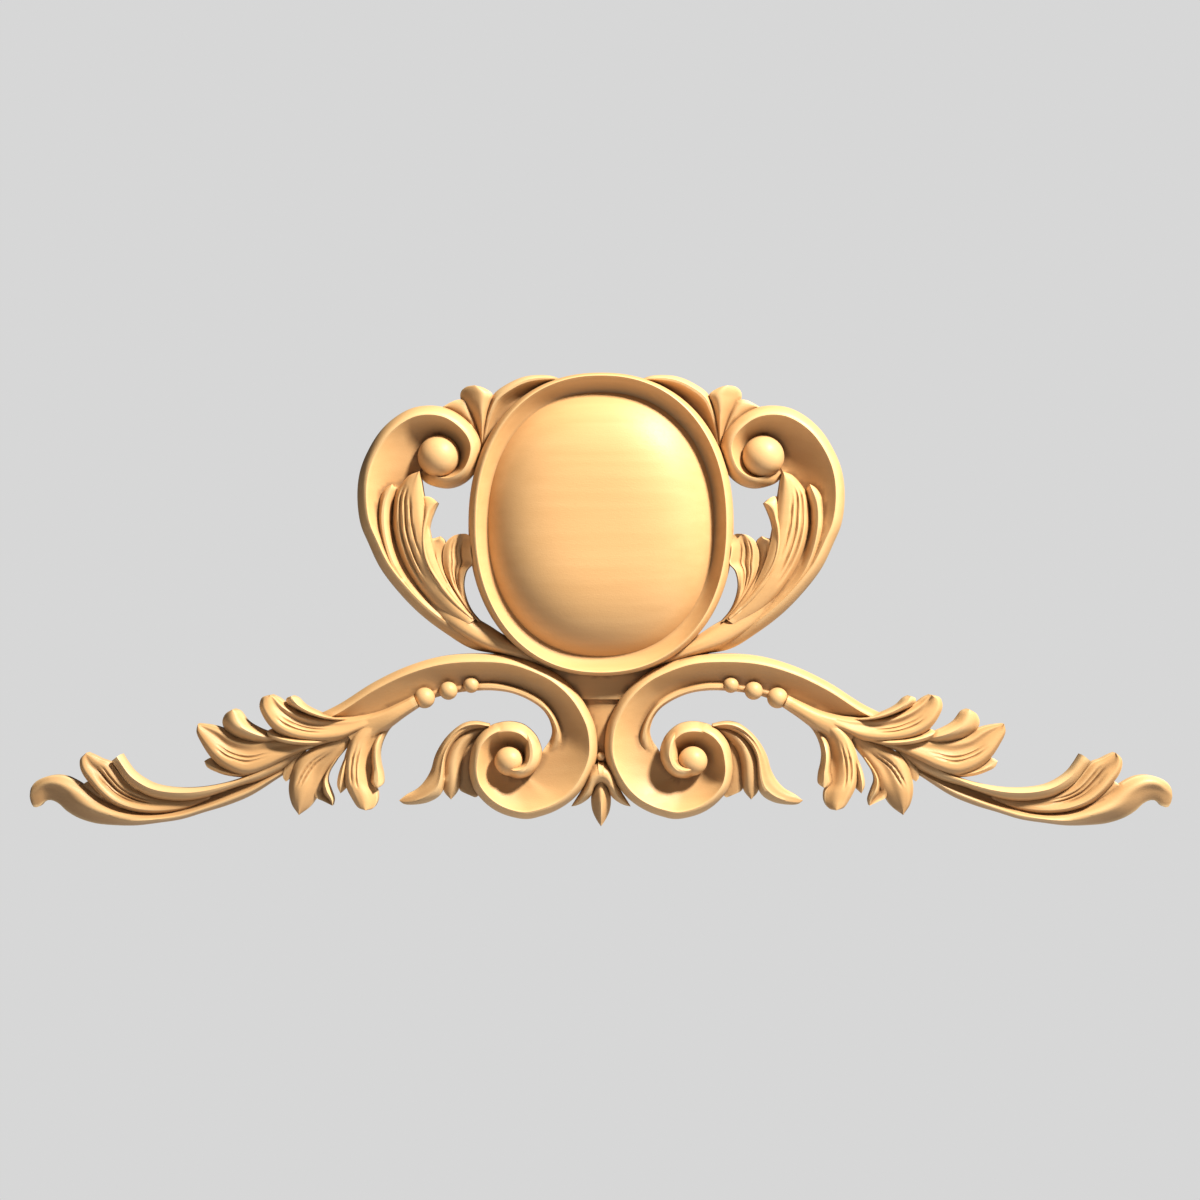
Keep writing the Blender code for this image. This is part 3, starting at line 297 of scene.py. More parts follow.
def leaf(name, ground, relief, near, far, table, grade=1.35):
    veins = VEINS.get(name, [])
    step, gap = (VEIN_STEP, VEIN_WIDTH) if veins else (CUT_STEP, CUT_WIDTH)
    steps = max(FEWEST_STEPS, round(line_length(far) * ground.size / step))
    places = (np.arange(steps + 1) / steps) ** grade
    near_line = ground.real(edge_line(near, places))
    far_line = ground.real(edge_line(far, places))
    width = np.linalg.norm(far_line - near_line, axis=1)
    shares = np.linspace(0, 1, max(FEWEST_COLUMNS, round(width.max() / gap)))
    heights = relief * table_shares(table, places, shares)
    for vein in veins:
        heights -= vein_depth(places, shares, width, vein)
    if width[0] < TIP_WIDTH:
        heights[0] = heights[0].mean()
    across = np.tile(shares, (steps + 1, 1))
    for mirrored in (False, True):
        sheet(name, near_line, far_line, across, heights, mirrored)


# %% [markdown]
# ## Bands with a rim and a cove
# The C-scroll and the arch are the same moulding: a rounded rim on the outside, then a hollow
# that falls steeply and flattens toward the inner edge. A bevelled curve keeps one section
# all along, and here the width changes as the band rolls up, so the section is worked out
# again at each step from the rim's real width.

# %% The moulded band
RIM_SHARE = 0.8
RIM_FULLNESS = 0.8
COVE_EASE = 1.3


def scroll_band(name, ground, pairs, rim_width, crest, floor, shoulder):
    outer = np.array([pair[0] for pair in pairs], float)
    inner = np.array([pair[1] for pair in pairs], float)
    knots = chord_knots(outer)
    steps = round(line_length(outer) * ground.size / CUT_STEP)
    places = np.linspace(0, knots[-1], steps + 1)
    near_line = ground.real(hermite(knots, outer, places))
    far_line = ground.real(hermite(knots, inner, places))
    share = places / knots[-1]
    crest_line, floor_line, shoulder_line = (
        hermite(np.linspace(0, 1, len(line)), line, share)[:, None] for line in (crest, floor, shoulder))
    width = np.linalg.norm(far_line - near_line, axis=1)[:, None]
    rim = np.minimum(rim_width, RIM_SHARE * width)
    rise = np.linspace(0, 1, RIM_POINTS)[:-1]
    fall = np.linspace(0, 1, COVE_POINTS)
    rim_across = rim / width * rise
    rim_heights = shoulder_line + (crest_line - shoulder_line) * np.sin(rise * math.pi / 2) ** RIM_FULLNESS
    fall = fall ** COVE_EASE
    cove_across = (rim + (width - rim) * fall) / width
    cove_heights = floor_line + (crest_line - floor_line) * (1 - fall) ** 2
    across = np.hstack([rim_across, cove_across])
    heights = np.hstack([rim_heights, cove_heights])
    for mirrored in (False, True):
        sheet(name, near_line, far_line, across, heights, mirrored)


# %% [markdown]
# ## Balls and their beds
# The ball in the C-scroll and the eye of the volute are turned shapes left standing on a flat
# floor. A sphere whose lower half is buried gives the same look as a carved half-round.

# %% A ball and a bed
def ball(name, centre, diameter, top, segments=BALL_SEGMENTS):
    for side in (1, -1):
        grid = bmesh.new()
        bmesh.ops.create_uvsphere(grid, u_segments=segments, v_segments=segments // 2,
                                  radius=diameter / 2 * MM)
        bmesh.ops.translate(grid, verts=grid.verts,
                            vec=(side * centre[0] * MM, (diameter / 2 - top) * MM, centre[1] * MM))
        keep(grid, name)


def bed(name, centre, radius, height):
    turn = np.linspace(0, np.pi, BED_STEPS)
    reach = radius * np.column_stack([np.cos(turn), np.sin(turn)])
    near_line = np.asarray(centre) + reach
    far_line = np.asarray(centre) + reach * (1, -1)
    across = np.tile([0.0, 1.0], (BED_STEPS, 1))
    for mirrored in (False, True):
        sheet(name, near_line, far_line, across, np.full((BED_STEPS, 2), height), mirrored)


def toward(centre, point, radius):
    centre = np.asarray(centre, float)
    way = np.asarray(point, float) - centre
    return tuple(centre + way / np.linalg.norm(way) * radius)


# %% [markdown]
# ## The oval boss
# The middle of the carving is a smooth blank dome, like a pillow, inside a raised rim. Its
# outline is a little squarer than an ellipse, which a superellipse gives with one exponent.
# Rings of points from the edge to the middle carry the section. The rings of the dome stop
# short of its peak, where they would crowd together, and one fan of triangles closes it.

# %% Build the oval boss
RIM_RINGS = 8
COVE_RINGS = 13
DOME_RINGS = 40
DOME_GRADE = 1.5


def oval_boss():
    half = np.array([OVAL_WIDTH, OVAL_HEIGHT]) / 2
    crest = np.array([OVAL_CREST_INSET, OVAL_END_CREST_INSET])
    rings = [(crest * 0, -BACK_ALLOWANCE)]
    for share in np.linspace(0, 1, RIM_RINGS):
        rise = math.sin(share * math.pi / 2) ** RIM_FULLNESS
        rings.append((crest * share, OVAL_EDGE_HEIGHT + (OVAL_CREST_HEIGHT - OVAL_EDGE_HEIGHT) * rise))
    for share in np.linspace(0, 1, COVE_RINGS)[1:]:
        fall = (1 - share) ** COVE_FULLNESS
        rings.append((crest + (GROOVE_INSET - crest) * share,
                      GROOVE_HEIGHT + (OVAL_CREST_HEIGHT - GROOVE_HEIGHT) * fall))
    for share in 1 - np.linspace(0, 1, DOME_RINGS)[1:-3] ** DOME_GRADE:
        rise = 1 - share ** DOME_FULLNESS
        rings.append((half - (half - GROOVE_INSET) * share,
                      GROOVE_HEIGHT + (DOME_HEIGHT - GROOVE_HEIGHT) * rise))
    angles = np.arange(OVAL_STEPS) * 2 * np.pi / OVAL_STEPS
    cosine = np.sign(np.cos(angles)) * np.abs(np.cos(angles)) ** (2 / OVAL_SQUARENESS)
    sine = np.sign(np.sin(angles)) * np.abs(np.sin(angles)) ** (2 / OVAL_SQUARENESS)
    grid = bmesh.new()
    loops = []
    for inset, height in rings:
        width, tall = half - inset
        loops.append([grid.verts.new((width * c * MM, -height * MM, tall * s * MM))
                      for c, s in zip(cosine, sine)])
    for lower, upper in zip(loops, loops[1:]):
        for i in range(OVAL_STEPS):
            k = (i + 1) % OVAL_STEPS
            grid.faces.new((lower[i], lower[k], upper[k], upper[i]))
    grid.faces.new(loops[0])
    peak = grid.verts.new((0, -DOME_HEIGHT * MM, 0))
    for i in range(OVAL_STEPS):
        grid.faces.new((loops[-1][i], loops[-1][(i + 1) % OVAL_STEPS], peak))
    keep(grid, "oval")


oval_boss()
print("oval boss of", len(carved[0].data.vertices), "points")

# %% [markdown]
# ## The upper C-scroll
# Beside the oval a broad band rises from the arch and curls round a ball. The outer line is
# drawn point by point. Inside the curl each inner point lies on a circle about the ball,
# facing its outer point, so only the lower stretch needs drawn pairs.

# %% Carve the C-scroll and its ball
def upper_scroll():
    centre = (162, 68)
    inner_circle = 16
    floor_circle = 25
    below = [((102, -130), (98, -118)), ((130, -124), (118, -106)), ((155, -109), (138, -90)),
             ((179, -91), (158, -70)), ((200, -70), (174, -50)), ((220, -44), (184, -30)),
             ((232, -19), (190, -10)), ((240, 1), (193, 12)), ((243, 30), (190, 38)),
             ((240, 54), (180, 56))]
    curl = [(232, 74), (220, 93), (205, 107), (188, 116), (170, 118.5), (154, 116), (139, 108),
            (126, 95), (120, 81), (121, 66), (128, 50), (139, 40.5), (152, 36.5), (165, 38),
            (176, 42.5), (182, 50)]
    pairs = below + [(point, toward(centre, point, inner_circle)) for point in curl]
    crest = np.multiply([0.57, 0.64, 0.79, 0.93, 1, 1, 1, 1, 0.96, 0.89, 0.75, 0.48], SCROLL_RELIEF)
    floor = np.multiply([0.43, 0.43, 0.43, 0.43, 0.43, 0.45, 0.46], SCROLL_RELIEF)
    shoulder = np.multiply([0.36, 0.43, 0.50, 0.57, 0.61, 0.64, 0.64, 0.64, 0.61, 0.57, 0.50, 0.43],
                           SCROLL_RELIEF)
    scroll_band("upper_scroll", UPPER, pairs, SCROLL_RIM_WIDTH, crest, floor, shoulder)
    bed("ball_bed", UPPER.real(centre), floor_circle * UPPER.size, BALL_BED_HEIGHT)
    ball("ball", UPPER.real(centre), BALL_DIAMETER, BALL_TOP_HEIGHT)


upper_scroll()

# %% [markdown]
# ## The upper leaf
# Five fingers share one stem and lie over the C-scroll. Each is a strip with its own ridges,
# and where two strips cross, the deeper one is hidden. That leaves the crisp creases between
# fingers that a gouge would cut, with nothing drawn for them.

# %% Carve the upper leaf
def upper_leaf():
    relief = UPPER_LEAF_RELIEF
    leaf("upper_leaf_a", UPPER, relief,
         [(208, 40), (214, 36), (219, 29), (222.5, 13), (222.6, -2), (220, -19), (213.8, -40), (204, -57),
          (191, -72), (177, -86), (160, -99), (142, -111)],
         [(208, 40), (205, 36), (206, 28), (208.5, 18), (208.5, 0), (204.5, -21), (195, -44), (182, -63),
          (168, -79), (150, -94), (134, -104)],
         [[74, 80, 82, 78, 70], [56, 80, 84, 74, 48], [52, 74, 76, 64, 46], [44, 62, 66, 62, 50],
          [38, 54, 58, 56, 46]])
    leaf("upper_leaf_b", UPPER, relief,
         [(180.5, 52.5), (190, 49), (199, 40), (205, 30), (207.5, 13), (208, -4), (203.5, -24), (194, -46),
          (178, -70), (158, -90), (138, -104)],
         [(180.5, 52.5), (179, 44), (177, 31), (174, 12), (171, -6), (165, -32), (154, -58), (140, -78),
          (124, -94)],
         [[80, 88, 94, 96, 98, 96, 90], [56, 84, 90, 94, 96, 94, 84], [50, 74, 82, 86, 90, 90, 80],
          [50, 66, 73, 77, 79, 77, 68], [46, 60, 67, 70, 70, 67, 58]])
    leaf("upper_leaf_c", UPPER, relief,
         [(162.5, 21.5), (170, 27), (176.5, 27), (179.5, 15), (183.5, 4), (184, -14), (178, -38),
          (165, -60), (148, -80), (130, -96)],
         [(162.5, 21.5), (166, 14), (170, 3), (172, -9), (171.8, -22), (168, -38), (158, -56), (144, -74),
          (126, -92)],
         [[84, 88, 90, 90, 84], [66, 80, 92, 94, 72], [78, 86, 92, 88, 66], [74, 80, 82, 78, 62],
          [59, 68, 70, 66, 55]])
    leaf("upper_leaf_d", UPPER, relief,
         [(160, -12), (166, -14), (172, -15), (173, -24), (170, -38), (161, -56), (148, -74), (132, -90)],
         [(160, -12), (156, -16), (155.5, -20), (157.5, -30), (155, -46), (146, -64), (134, -82),
          (124, -94)],
         [[70, 74, 76, 72, 66], [66, 80, 70, 64, 54], [62, 76, 66, 64, 52], [62, 72, 70, 66, 56],
          [54, 62, 62, 60, 52]])
    leaf("upper_leaf_e", UPPER, relief,
         [(140, -9.5), (147, -11.5), (154, -17.5), (157.5, -28), (156.5, -44), (148, -64), (136, -82),
          (124, -96)],
         [(140, -9.5), (133, -10), (129, -15), (129.6, -24), (128.6, -32), (127.6, -38.5), (134, -46),
          (137, -60), (134.5, -74), (129, -86), (119, -98)],
         [[66, 66, 66, 70, 74], [62, 68, 60, 68, 84], [60, 70, 64, 72, 76], [58, 68, 68, 66, 58],
          [52, 60, 62, 58, 48]])
    leaf("upper_leaf_stem", UPPER, relief,
         [(186, -76), (177, -86), (162, -98.5), (143, -111), (121, -123.5), (100, -131), (80, -137),
          (50, -146)],
         [(150, -56), (142, -72), (134, -84), (125, -93), (112, -101), (98, -110), (84, -117), (56, -126)],
         [[30, 48, 55, 57, 55, 49, 34], [38, 60, 67, 68, 66, 58, 42], [40, 66, 73, 73, 70, 62, 46],
          [40, 62, 70, 70, 68, 60, 44], [34, 50, 54, 54, 52, 48, 40]], grade=1.0)


upper_leaf()

# %% [markdown]
# ## The small top leaves
# Three leaves fill the corner between the C-scroll and the top of the oval: a long one that
# hugs the rim, a cup in the corner and a low one behind.

# %% Carve the top leaves
def top_leaves():
    relief = TOP_LEAF_RELIEF
    leaf("top_leaf_long", UPPER, relief,
         [(36, 143), (49, 148), (62, 149), (76, 147.5), (92, 141), (107, 130), (114, 114), (118.4, 92),
          (120.3, 64.5)],
         [(36, 138), (48, 132), (58, 127), (68, 122), (80, 113), (92, 102), (101, 90), (108, 76),
          (113, 62)],
         [[78, 100, 84, 74, 76, 70], [74, 100, 74, 60, 70, 62], [70, 98, 70, 56, 64, 56],
          [60, 72, 60, 52, 52, 50], [44, 46, 46, 44, 44, 42]], grade=1.0)
    leaf("top_leaf_cup", UPPER, relief,
         [(126, 138.5), (134, 137.3), (139.5, 133), (140.5, 127), (137, 119), (130.5, 109), (125, 97),
          (121.8, 85), (120, 70)],
         [(126, 138.5), (117, 136), (108, 129.5), (110.5, 122), (113.5, 112), (115.5, 100), (117, 87),
          (118, 69)],
         [[88, 90, 92, 92, 88], [60, 80, 94, 100, 84], [56, 70, 84, 90, 74], [52, 60, 68, 70, 60],
          [44, 46, 48, 46, 44]])
    leaf("top_leaf_back", UPPER, relief,
         [(158, 117.5), (150.5, 121.8), (143.5, 124.5), (136, 124), (129, 112), (124, 99), (120, 84),
          (117.4, 67)],
         [(158, 117.5), (150, 113), (140, 106), (130, 97), (124, 88), (120, 76), (119, 66)],
         [[64, 66, 66, 64, 62], [66, 72, 74, 70, 60], [50, 58, 62, 60, 54],
          [42, 44, 46, 44, 42]], grade=1.0)


top_leaves()

# %% [markdown]
# ## The arch and its volute
# The arch starts under the spray, passes below the oval and rolls up into a volute. The band
# would cross itself in the last turn, so that turn is a strip of its own, which runs on from
# the rim and ends in the eye. A small raised fillet follows the inner edge of the arch.

# %% Carve the arch, the volute and the fillet
def arch_and_volute():
    eye = (91.5, -236.0)
    inner_circle = 12.5
    floor_circle = 26
    turn_drop = 0.4
    bed_drop = 0.5
    shoulder_share = 0.68
    arch = [((283, -190), (282, -199)), ((261, -179), (257, -197)), ((227, -157.5), (221, -191)),
            ((192, -141), (187, -180)), ((158, -131.5), (155, -169)), ((123, -129), (121, -165.5)),
            ((89, -131.5), (92, -167.5)), ((54, -144), (70, -176)), ((37, -155), (61, -182)),
            ((23, -169), (55, -189)), ((13, -184.5), (51, -197)), ((6, -201.5), (49, -207)),
            ((3.6, -219), (52, -217)), ((4.4, -232.5), (58, -226)), ((9.6, -248), (62, -235)),
            ((20, -265.5), (68, -244)), ((32, -277.5), (75, -248.5))]
    roll = [(46, -286), (59.5, -291), (74, -294), (92, -291), (106, -285), (118, -275.5),
            (127, -263.5), (131, -249.5), (131, -235.5), (127, -218.5), (118, -206.5), (108, -200),
            (98, -197.4)]
    turn = [(108, -200), (98, -197.4), (88, -197.2), (78, -199.8), (70, -205.5), (63.5, -213.5),
            (60, -223.5)]
    pairs = arch + [(point, toward(eye, point, inner_circle)) for point in roll]
    crest = np.multiply([0.69, 0.81, 0.92, 1, 1, 1, 1, 1, 1, 1, 1.03, 0.96], ARCH_RELIEF)
    floor = np.full(4, ARCH_FLOOR_HEIGHT)
    scroll_band("arch", LOWER, pairs, ARCH_RIM_WIDTH, crest, floor, crest * shoulder_share)
    pairs = [(point, toward(eye, point, inner_circle)) for point in turn]
    crest = np.multiply([0.94, 1.05, 1.05, 1.05], ARCH_RELIEF)
    scroll_band("volute_turn", LOWER, pairs, TURN_RIM_WIDTH, crest, floor - turn_drop,
                crest * shoulder_share)
    leaf("volute_comma", LOWER, ARCH_RELIEF,
         [(82, -199), (72, -204), (65, -211.5), (60.3, -221), (59, -231), (61.5, -239.5), (67, -247.5),
          (76, -252.9), (86, -254.2), (98, -251)],
         [(84, -206), (78.5, -210), (76.5, -216), (76.3, -224), (76.6, -231), (78.3, -236.5),
          (81.5, -239.5), (86, -240.5), (91, -240), (98, -239)],
         [[52, 62, 70, 66, 52], [66, 94, 105, 98, 60], [72, 101, 111, 104, 66], [72, 102, 112, 106, 74],
          [62, 96, 108, 108, 90], [31, 58, 81, 96, 104]], grade=1.0)
    leaf("fillet", LOWER, FILLET_HEIGHT,
         [(188, -172), (165, -164), (146, -160), (122, -157.5), (106, -157.5), (89, -161), (72, -167),
          (58, -175.5), (47.5, -187.5), (40.5, -201.5), (37, -218.5), (44, -236)],
         [(185, -181), (165, -173), (146, -168.5), (122, -166), (106, -166), (89, -168.6), (72, -175.5),
          (58.5, -185), (51, -196.5), (48.5, -206.5), (51.5, -217.5), (60, -233)],
         [[70, 84, 86, 84, 70], [65, 78, 81, 78, 65], [70, 97, 100, 97, 70], [76, 97, 100, 97, 70],
          [70, 97, 103, 95, 65], [59, 65, 65, 65, 59]], grade=1.0)
    bed("eye_bed", LOWER.real(eye), floor_circle * LOWER.size, ARCH_FLOOR_HEIGHT - bed_drop)
    ball("eye", LOWER.real(eye), EYE_DIAMETER, EYE_HEIGHT)


arch_and_volute()

# %% [markdown]
# ## The leaves beside the volute
# Three fingers fan out from the side of each volute, a long one in front with a turned-up
# tip, then a middle one and a short low one.

# %% Carve the side leaves
def volute_leaves():
    relief = SIDE_LEAF_RELIEF
    leaf("side_leaf_long", LOWER, relief,
         [(202, -276), (195, -270.5), (185, -265), (177, -257), (170.5, -246), (166, -231), (159, -218),
          (149, -206.5), (137, -198.5), (125, -196.8), (111.5, -199.4)],
         [(202, -276), (197, -279.5), (185, -280), (171, -277), (160.5, -270), (156.5, -258), (156, -245),
          (155, -234), (150, -222), (140, -211), (126, -204.5), (111, -204.6)],
         [[58, 58, 58, 58, 58], [56, 78, 84, 88, 60], [58, 82, 86, 94, 66], [62, 94, 88, 88, 66],
          [70, 100, 88, 80, 70]])
    leaf("side_leaf_middle", LOWER, relief,
         [(150, -275), (157, -267), (161, -252), (159, -233), (150, -216), (136, -204), (113.6, -200.8)],
         [(150, -275), (143.5, -267), (141, -255), (140, -240), (136, -226), (127, -215), (113, -207.3)],
         [[62, 64, 64, 62, 60], [50, 66, 78, 76, 50], [54, 66, 78, 72, 52], [56, 66, 70, 66, 56]])
    leaf("side_leaf_short", LOWER, relief,
         [(133, -269.5), (141, -266), (144, -252), (142, -236), (135, -221), (120, -209)],
         [(133, -269.5), (125, -273), (120, -264), (120, -246), (118, -230), (112, -214)],
         [[46, 48, 48, 48, 46], [44, 52, 54, 50, 46], [46, 54, 56, 52, 46]])


volute_leaves()

# %% [markdown]
# ## The acanthus spray
# From the first bead a stem opens into leaves: two that droop and one that rises, each with a
# broad middle and a narrow finger on either side.

# %% Carve the spray
def spray_leaves():
    relief = SPRAY_RELIEF
    leaf("stem", SPRAY, relief,
         [(266, -190), (250, -191.5), (236, -190), (220, -185.8), (204, -178.9), (187, -170.5)],
         [(238, -232), (229, -222), (222, -212), (211.5, -204), (197, -193), (181.5, -182.5)],
         [[40, 64, 72, 75, 72, 64, 40], [53, 76, 81, 83, 81, 75, 50], [62, 84, 90, 91, 90, 84, 60],
          [64, 84, 88, 89, 88, 84, 62]], grade=1.0)
    leaf("droop_p_right", SPRAY, relief,
         [(222, -262.5), (218, -259.5), (217.8, -250), (220.4, -238), (221, -228), (218, -216),
          (211, -204), (200, -195)],
         [(222, -262.5), (226.5, -261), (230, -256), (229, -246), (229.5, -232), (228, -218), (222, -206),
          (208, -194)],
         [[88, 92, 94, 92, 86], [70, 94, 96, 90, 62], [62, 90, 92, 82, 60], [46, 58, 62, 58, 48],
          [28, 32, 34, 32, 30]])
    leaf("droop_p_main", SPRAY, relief,
         [(234, -284.8), (227.5, -283.3), (223.4, -276.5), (223.3, -267), (227, -259), (228, -246),
          (228, -230), (224, -215), (214, -202), (200, -190)],
         [(234, -284.8), (241.5, -282.6), (247.6, -274.5), (254, -262), (257, -248), (256.5, -235),
          (253, -222), (248.5, -211), (236, -198), (216, -188)],
         [[84, 92, 96, 98, 96, 92, 84], [72, 80, 92, 98, 98, 94, 74], [62, 66, 80, 90, 92, 88, 68],
          [62, 68, 78, 84, 84, 80, 66], [50, 63, 70, 72, 70, 65, 52]])
    leaf("droop_p_left", SPRAY, relief,
         [(260, -268.5), (254, -262), (251, -250), (250, -238), (247, -226), (240, -212)],
         [(260, -268.5), (263.3, -261), (262.7, -252), (259.5, -241), (254, -228), (249, -215)],
         [[64, 68, 70, 70, 64], [58, 68, 84, 86, 60], [58, 68, 78, 76, 56], [46, 52, 56, 54, 46]])
    leaf("droop_q_main", SPRAY, relief,
         [(302, -290.4), (291.5, -282.5), (284, -272), (278, -260), (273, -247), (265, -236), (256, -225),
          (247, -213), (236, -204)],
         [(302, -290.4), (309, -280), (312.2, -266), (311, -253), (307.5, -241), (300, -230.5),
          (286, -222), (266, -213), (244, -204)],
         [[50, 54, 56, 58, 56, 54, 48], [54, 62, 68, 74, 74, 68, 48], [56, 62, 60, 66, 70, 66, 50],
          [56, 64, 66, 68, 68, 64, 54], [50, 56, 58, 60, 58, 56, 50]])
    leaf("droop_q_right", SPRAY, relief,
         [(268.3, -280.8), (267.3, -275), (270.5, -265), (273.5, -256), (272, -248), (266, -238),
          (258, -226)],
         [(268.3, -280.8), (277, -276.5), (285, -272), (284, -262), (280, -252), (273, -240), (262, -228)],
         [[62, 62, 60, 60, 60], [70, 80, 50, 58, 60], [64, 76, 56, 60, 58], [48, 52, 52, 50, 46]])
    leaf("droop_q_left", SPRAY, relief,
         [(315, -257), (309, -252), (306, -240), (297, -228), (280, -214)],
         [(315, -257), (318, -253), (317, -245), (309, -234), (296, -223), (280, -212)],
         [[48, 48, 48, 48, 48], [46, 52, 52, 50, 42], [46, 50, 50, 48, 44]])
    leaf("rise_r_top", SPRAY, relief,
         [(308, -171), (303, -173.3), (296, -180), (280, -188), (264, -192), (246, -193)],
         [(308, -171), (313, -173), (313.8, -177), (302, -186), (284, -193), (264, -197), (246, -198)],
         [[88, 94, 96, 92, 86], [70, 100, 98, 82, 62], [60, 90, 90, 76, 58], [46, 60, 62, 56, 46]])
    leaf("rise_r_main", SPRAY, relief,
         [(329, -170), (322.5, -173), (313, -180), (300, -186.5), (282, -191.5), (264, -192.5),
          (240, -191), (220, -186), (204, -179.5)],
         [(329, -170), (337.5, -172.5), (340.3, -181), (337, -191), (328.5, -203), (316, -211.5),
          (300, -216.5), (282, -218), (262, -215.5), (246, -209), (228, -203), (212, -194)],
         [[84, 90, 94, 98, 98, 94, 86], [64, 86, 80, 90, 96, 96, 74], [62, 76, 76, 84, 90, 88, 68],
          [60, 76, 80, 84, 86, 82, 66], [48, 63, 69, 73, 71, 66, 50]])
    leaf("rise_r_low", SPRAY, relief,
         [(333.5, -206.5), (329, -204), (318, -206), (302, -209), (282, -211), (262, -211)],
         [(333.5, -206.5), (332, -211.5), (325, -215.5), (312, -219), (296, -220.8), (278, -219.8),
          (258, -214.5)],
         [[66, 70, 74, 72, 68], [56, 66, 84, 90, 66], [60, 72, 84, 84, 62], [50, 60, 64, 62, 52]])


spray_leaves()

# %% [markdown]
# ## The second spray and the tail
# A second leaf rises behind the first, and below it a long tail runs out and curls up at its
# end, with one more leaf lying on it.

# %% Carve the tail and its leaves
def tail_leaves():
    relief = SECOND_SPRAY_RELIEF
    leaf("rise_s_top", SPRAY, relief,
         [(367, -184.3), (361.5, -186.5), (353.5, -196.5), (342, -203.5), (330, -208), (314, -212)],
         [(367, -184.3), (374.8, -189), (378.3, -197), (375.8, -205), (367, -212.5), (353, -218.5),
          (336, -221), (316, -218)],
         [[84, 90, 92, 90, 82], [72, 100, 100, 84, 58], [66, 90, 88, 72, 54], [48, 58, 60, 54, 46]])
    leaf("rise_s_main", SPRAY, relief,
         [(402.5, -199), (390, -200.5), (379, -203.5), (366, -210.5), (350, -213), (334, -211.5),
          (314, -213), (292, -214), (266, -211)],
         [(402.5, -199), (404, -207), (398.3, -220), (388.8, -234), (374.5, -245.8), (360, -252),
          (350, -251.8), (335, -246), (319, -237), (300.6, -228), (282, -222), (262, -216)],
         [[66, 70, 74, 78, 78, 76, 70], [60, 76, 70, 82, 90, 88, 62], [60, 74, 74, 82, 88, 86, 62],
          [60, 72, 76, 80, 82, 78, 60], [52, 60, 64, 66, 64, 60, 52]])
    leaf("rise_s_low", SPRAY, relief,
         [(396.8, -236.5), (391, -233.5), (378, -239), (362, -244), (340, -242)],
         [(396.8, -236.5), (394, -242.5), (384, -247.8), (374, -251), (356, -252.5), (338, -247)],
         [[54, 56, 56, 56, 54], [48, 56, 68, 72, 52], [52, 62, 70, 68, 54]])
    leaf("tail", SPRAY, TAIL_RELIEF,
         [(572, -272), (571, -264.5), (566, -257.5), (557, -252.8), (546, -250.7), (535, -252),
          (523.5, -257.4), (512, -265), (500, -272), (484, -279), (466, -283), (444, -284.5), (415, -279),
          (397, -273.5), (370, -261.5), (346, -252.5), (322, -242.5), (300, -232)],
         [(572, -272), (571, -277.5), (567.5, -283), (561.5, -281.5), (557.5, -277.3), (551, -275.8),
          (543.5, -279), (535, -286.8), (523.5, -293.7), (507, -299), (488, -301), (466, -301.3),
          (443, -298.6), (420, -295), (397, -288), (374, -281), (351, -271.5), (325, -255), (302, -240)],
         [[50, 52, 54, 52, 50], [64, 88, 74, 62, 46], [50, 78, 96, 74, 40], [42, 60, 84, 90, 42],
          [44, 52, 66, 84, 44], [46, 52, 66, 78, 46], [46, 54, 62, 70, 46],
          [44, 50, 52, 54, 44]], grade=1.0)
    leaf("tail_leaf_low", SPRAY, TAIL_RELIEF,
         [(520, -261), (512, -256.5), (502, -264), (488, -273), (470, -281), (450, -284)],
         [(520, -261), (516.5, -266), (505.5, -274), (489.5, -281.5), (472, -287), (450, -290)],
         [[54, 56, 56, 56, 54], [52, 60, 66, 62, 50], [50, 58, 62, 58, 48]])
    leaf("tail_leaf_top", SPRAY, TAIL_RELIEF,
         [(479.8, -229.6), (474.5, -238), (468, -246.5), (459, -253.5), (447, -259.5), (431, -262.8),
          (408.5, -263.4), (385, -260.3), (362, -254), (346, -246), (325, -234), (300, -220)],
         [(488.8, -236.2), (483.5, -244), (475, -256), (464, -265), (450, -272), (434, -275.4),
          (415, -276), (397, -273.2), (378.6, -267.5), (362, -261.8), (342, -256), (322, -247),
          (302, -236)],
         [[92, 106, 104, 98, 84], [84, 110, 104, 96, 74], [76, 100, 98, 92, 70], [70, 90, 92, 86, 64],
          [60, 72, 74, 70, 56]], grade=1.0)
    leaf("tail_leaf_main", SPRAY, TAIL_RELIEF,
         [(514, -228), (507, -231), (500, -234.5), (491, -238), (483.5, -247), (474, -258.5), (460, -267),
          (440, -272), (414, -273), (390, -267)],
         [(514, -228), (520, -234), (520.5, -242), (517.5, -250), (511, -259), (502.5, -268.6),
          (489, -279), (475, -284.8), (459, -288.2), (440, -288.6), (416, -284.8), (392, -276)],
         [[84, 86, 88, 90, 92, 90, 86], [70, 86, 86, 78, 94, 100, 74], [62, 74, 76, 74, 88, 94, 68],
          [56, 66, 72, 74, 76, 76, 60], [44, 50, 52, 54, 54, 52, 44]])


tail_leaves()

# %% [markdown]
# ## The centre panel
# Between the volutes a plain panel falls in two steps to a small knob, a calyx of two leaves
# and a pointed drop with a ridge down its middle. The panel and the drop cross the centre
# line, so they are drawn once, from one side to the other.

# %% Carve the panel, the knob and the drop
def middle(name, relief, edge, table):
    steps = max(FEWEST_PANEL_STEPS, round(line_length(edge) * LOWER.size / CUT_STEP))
    places = np.arange(steps + 1) / steps
    line = LOWER.real(edge_line(edge, places))
    shares = np.linspace(0, 1, PANEL_COLUMNS)
    heights = relief * table_shares(table, places, shares)
    sheet(name, line, line * (-1, 1), np.tile(shares, (steps + 1, 1)), heights)


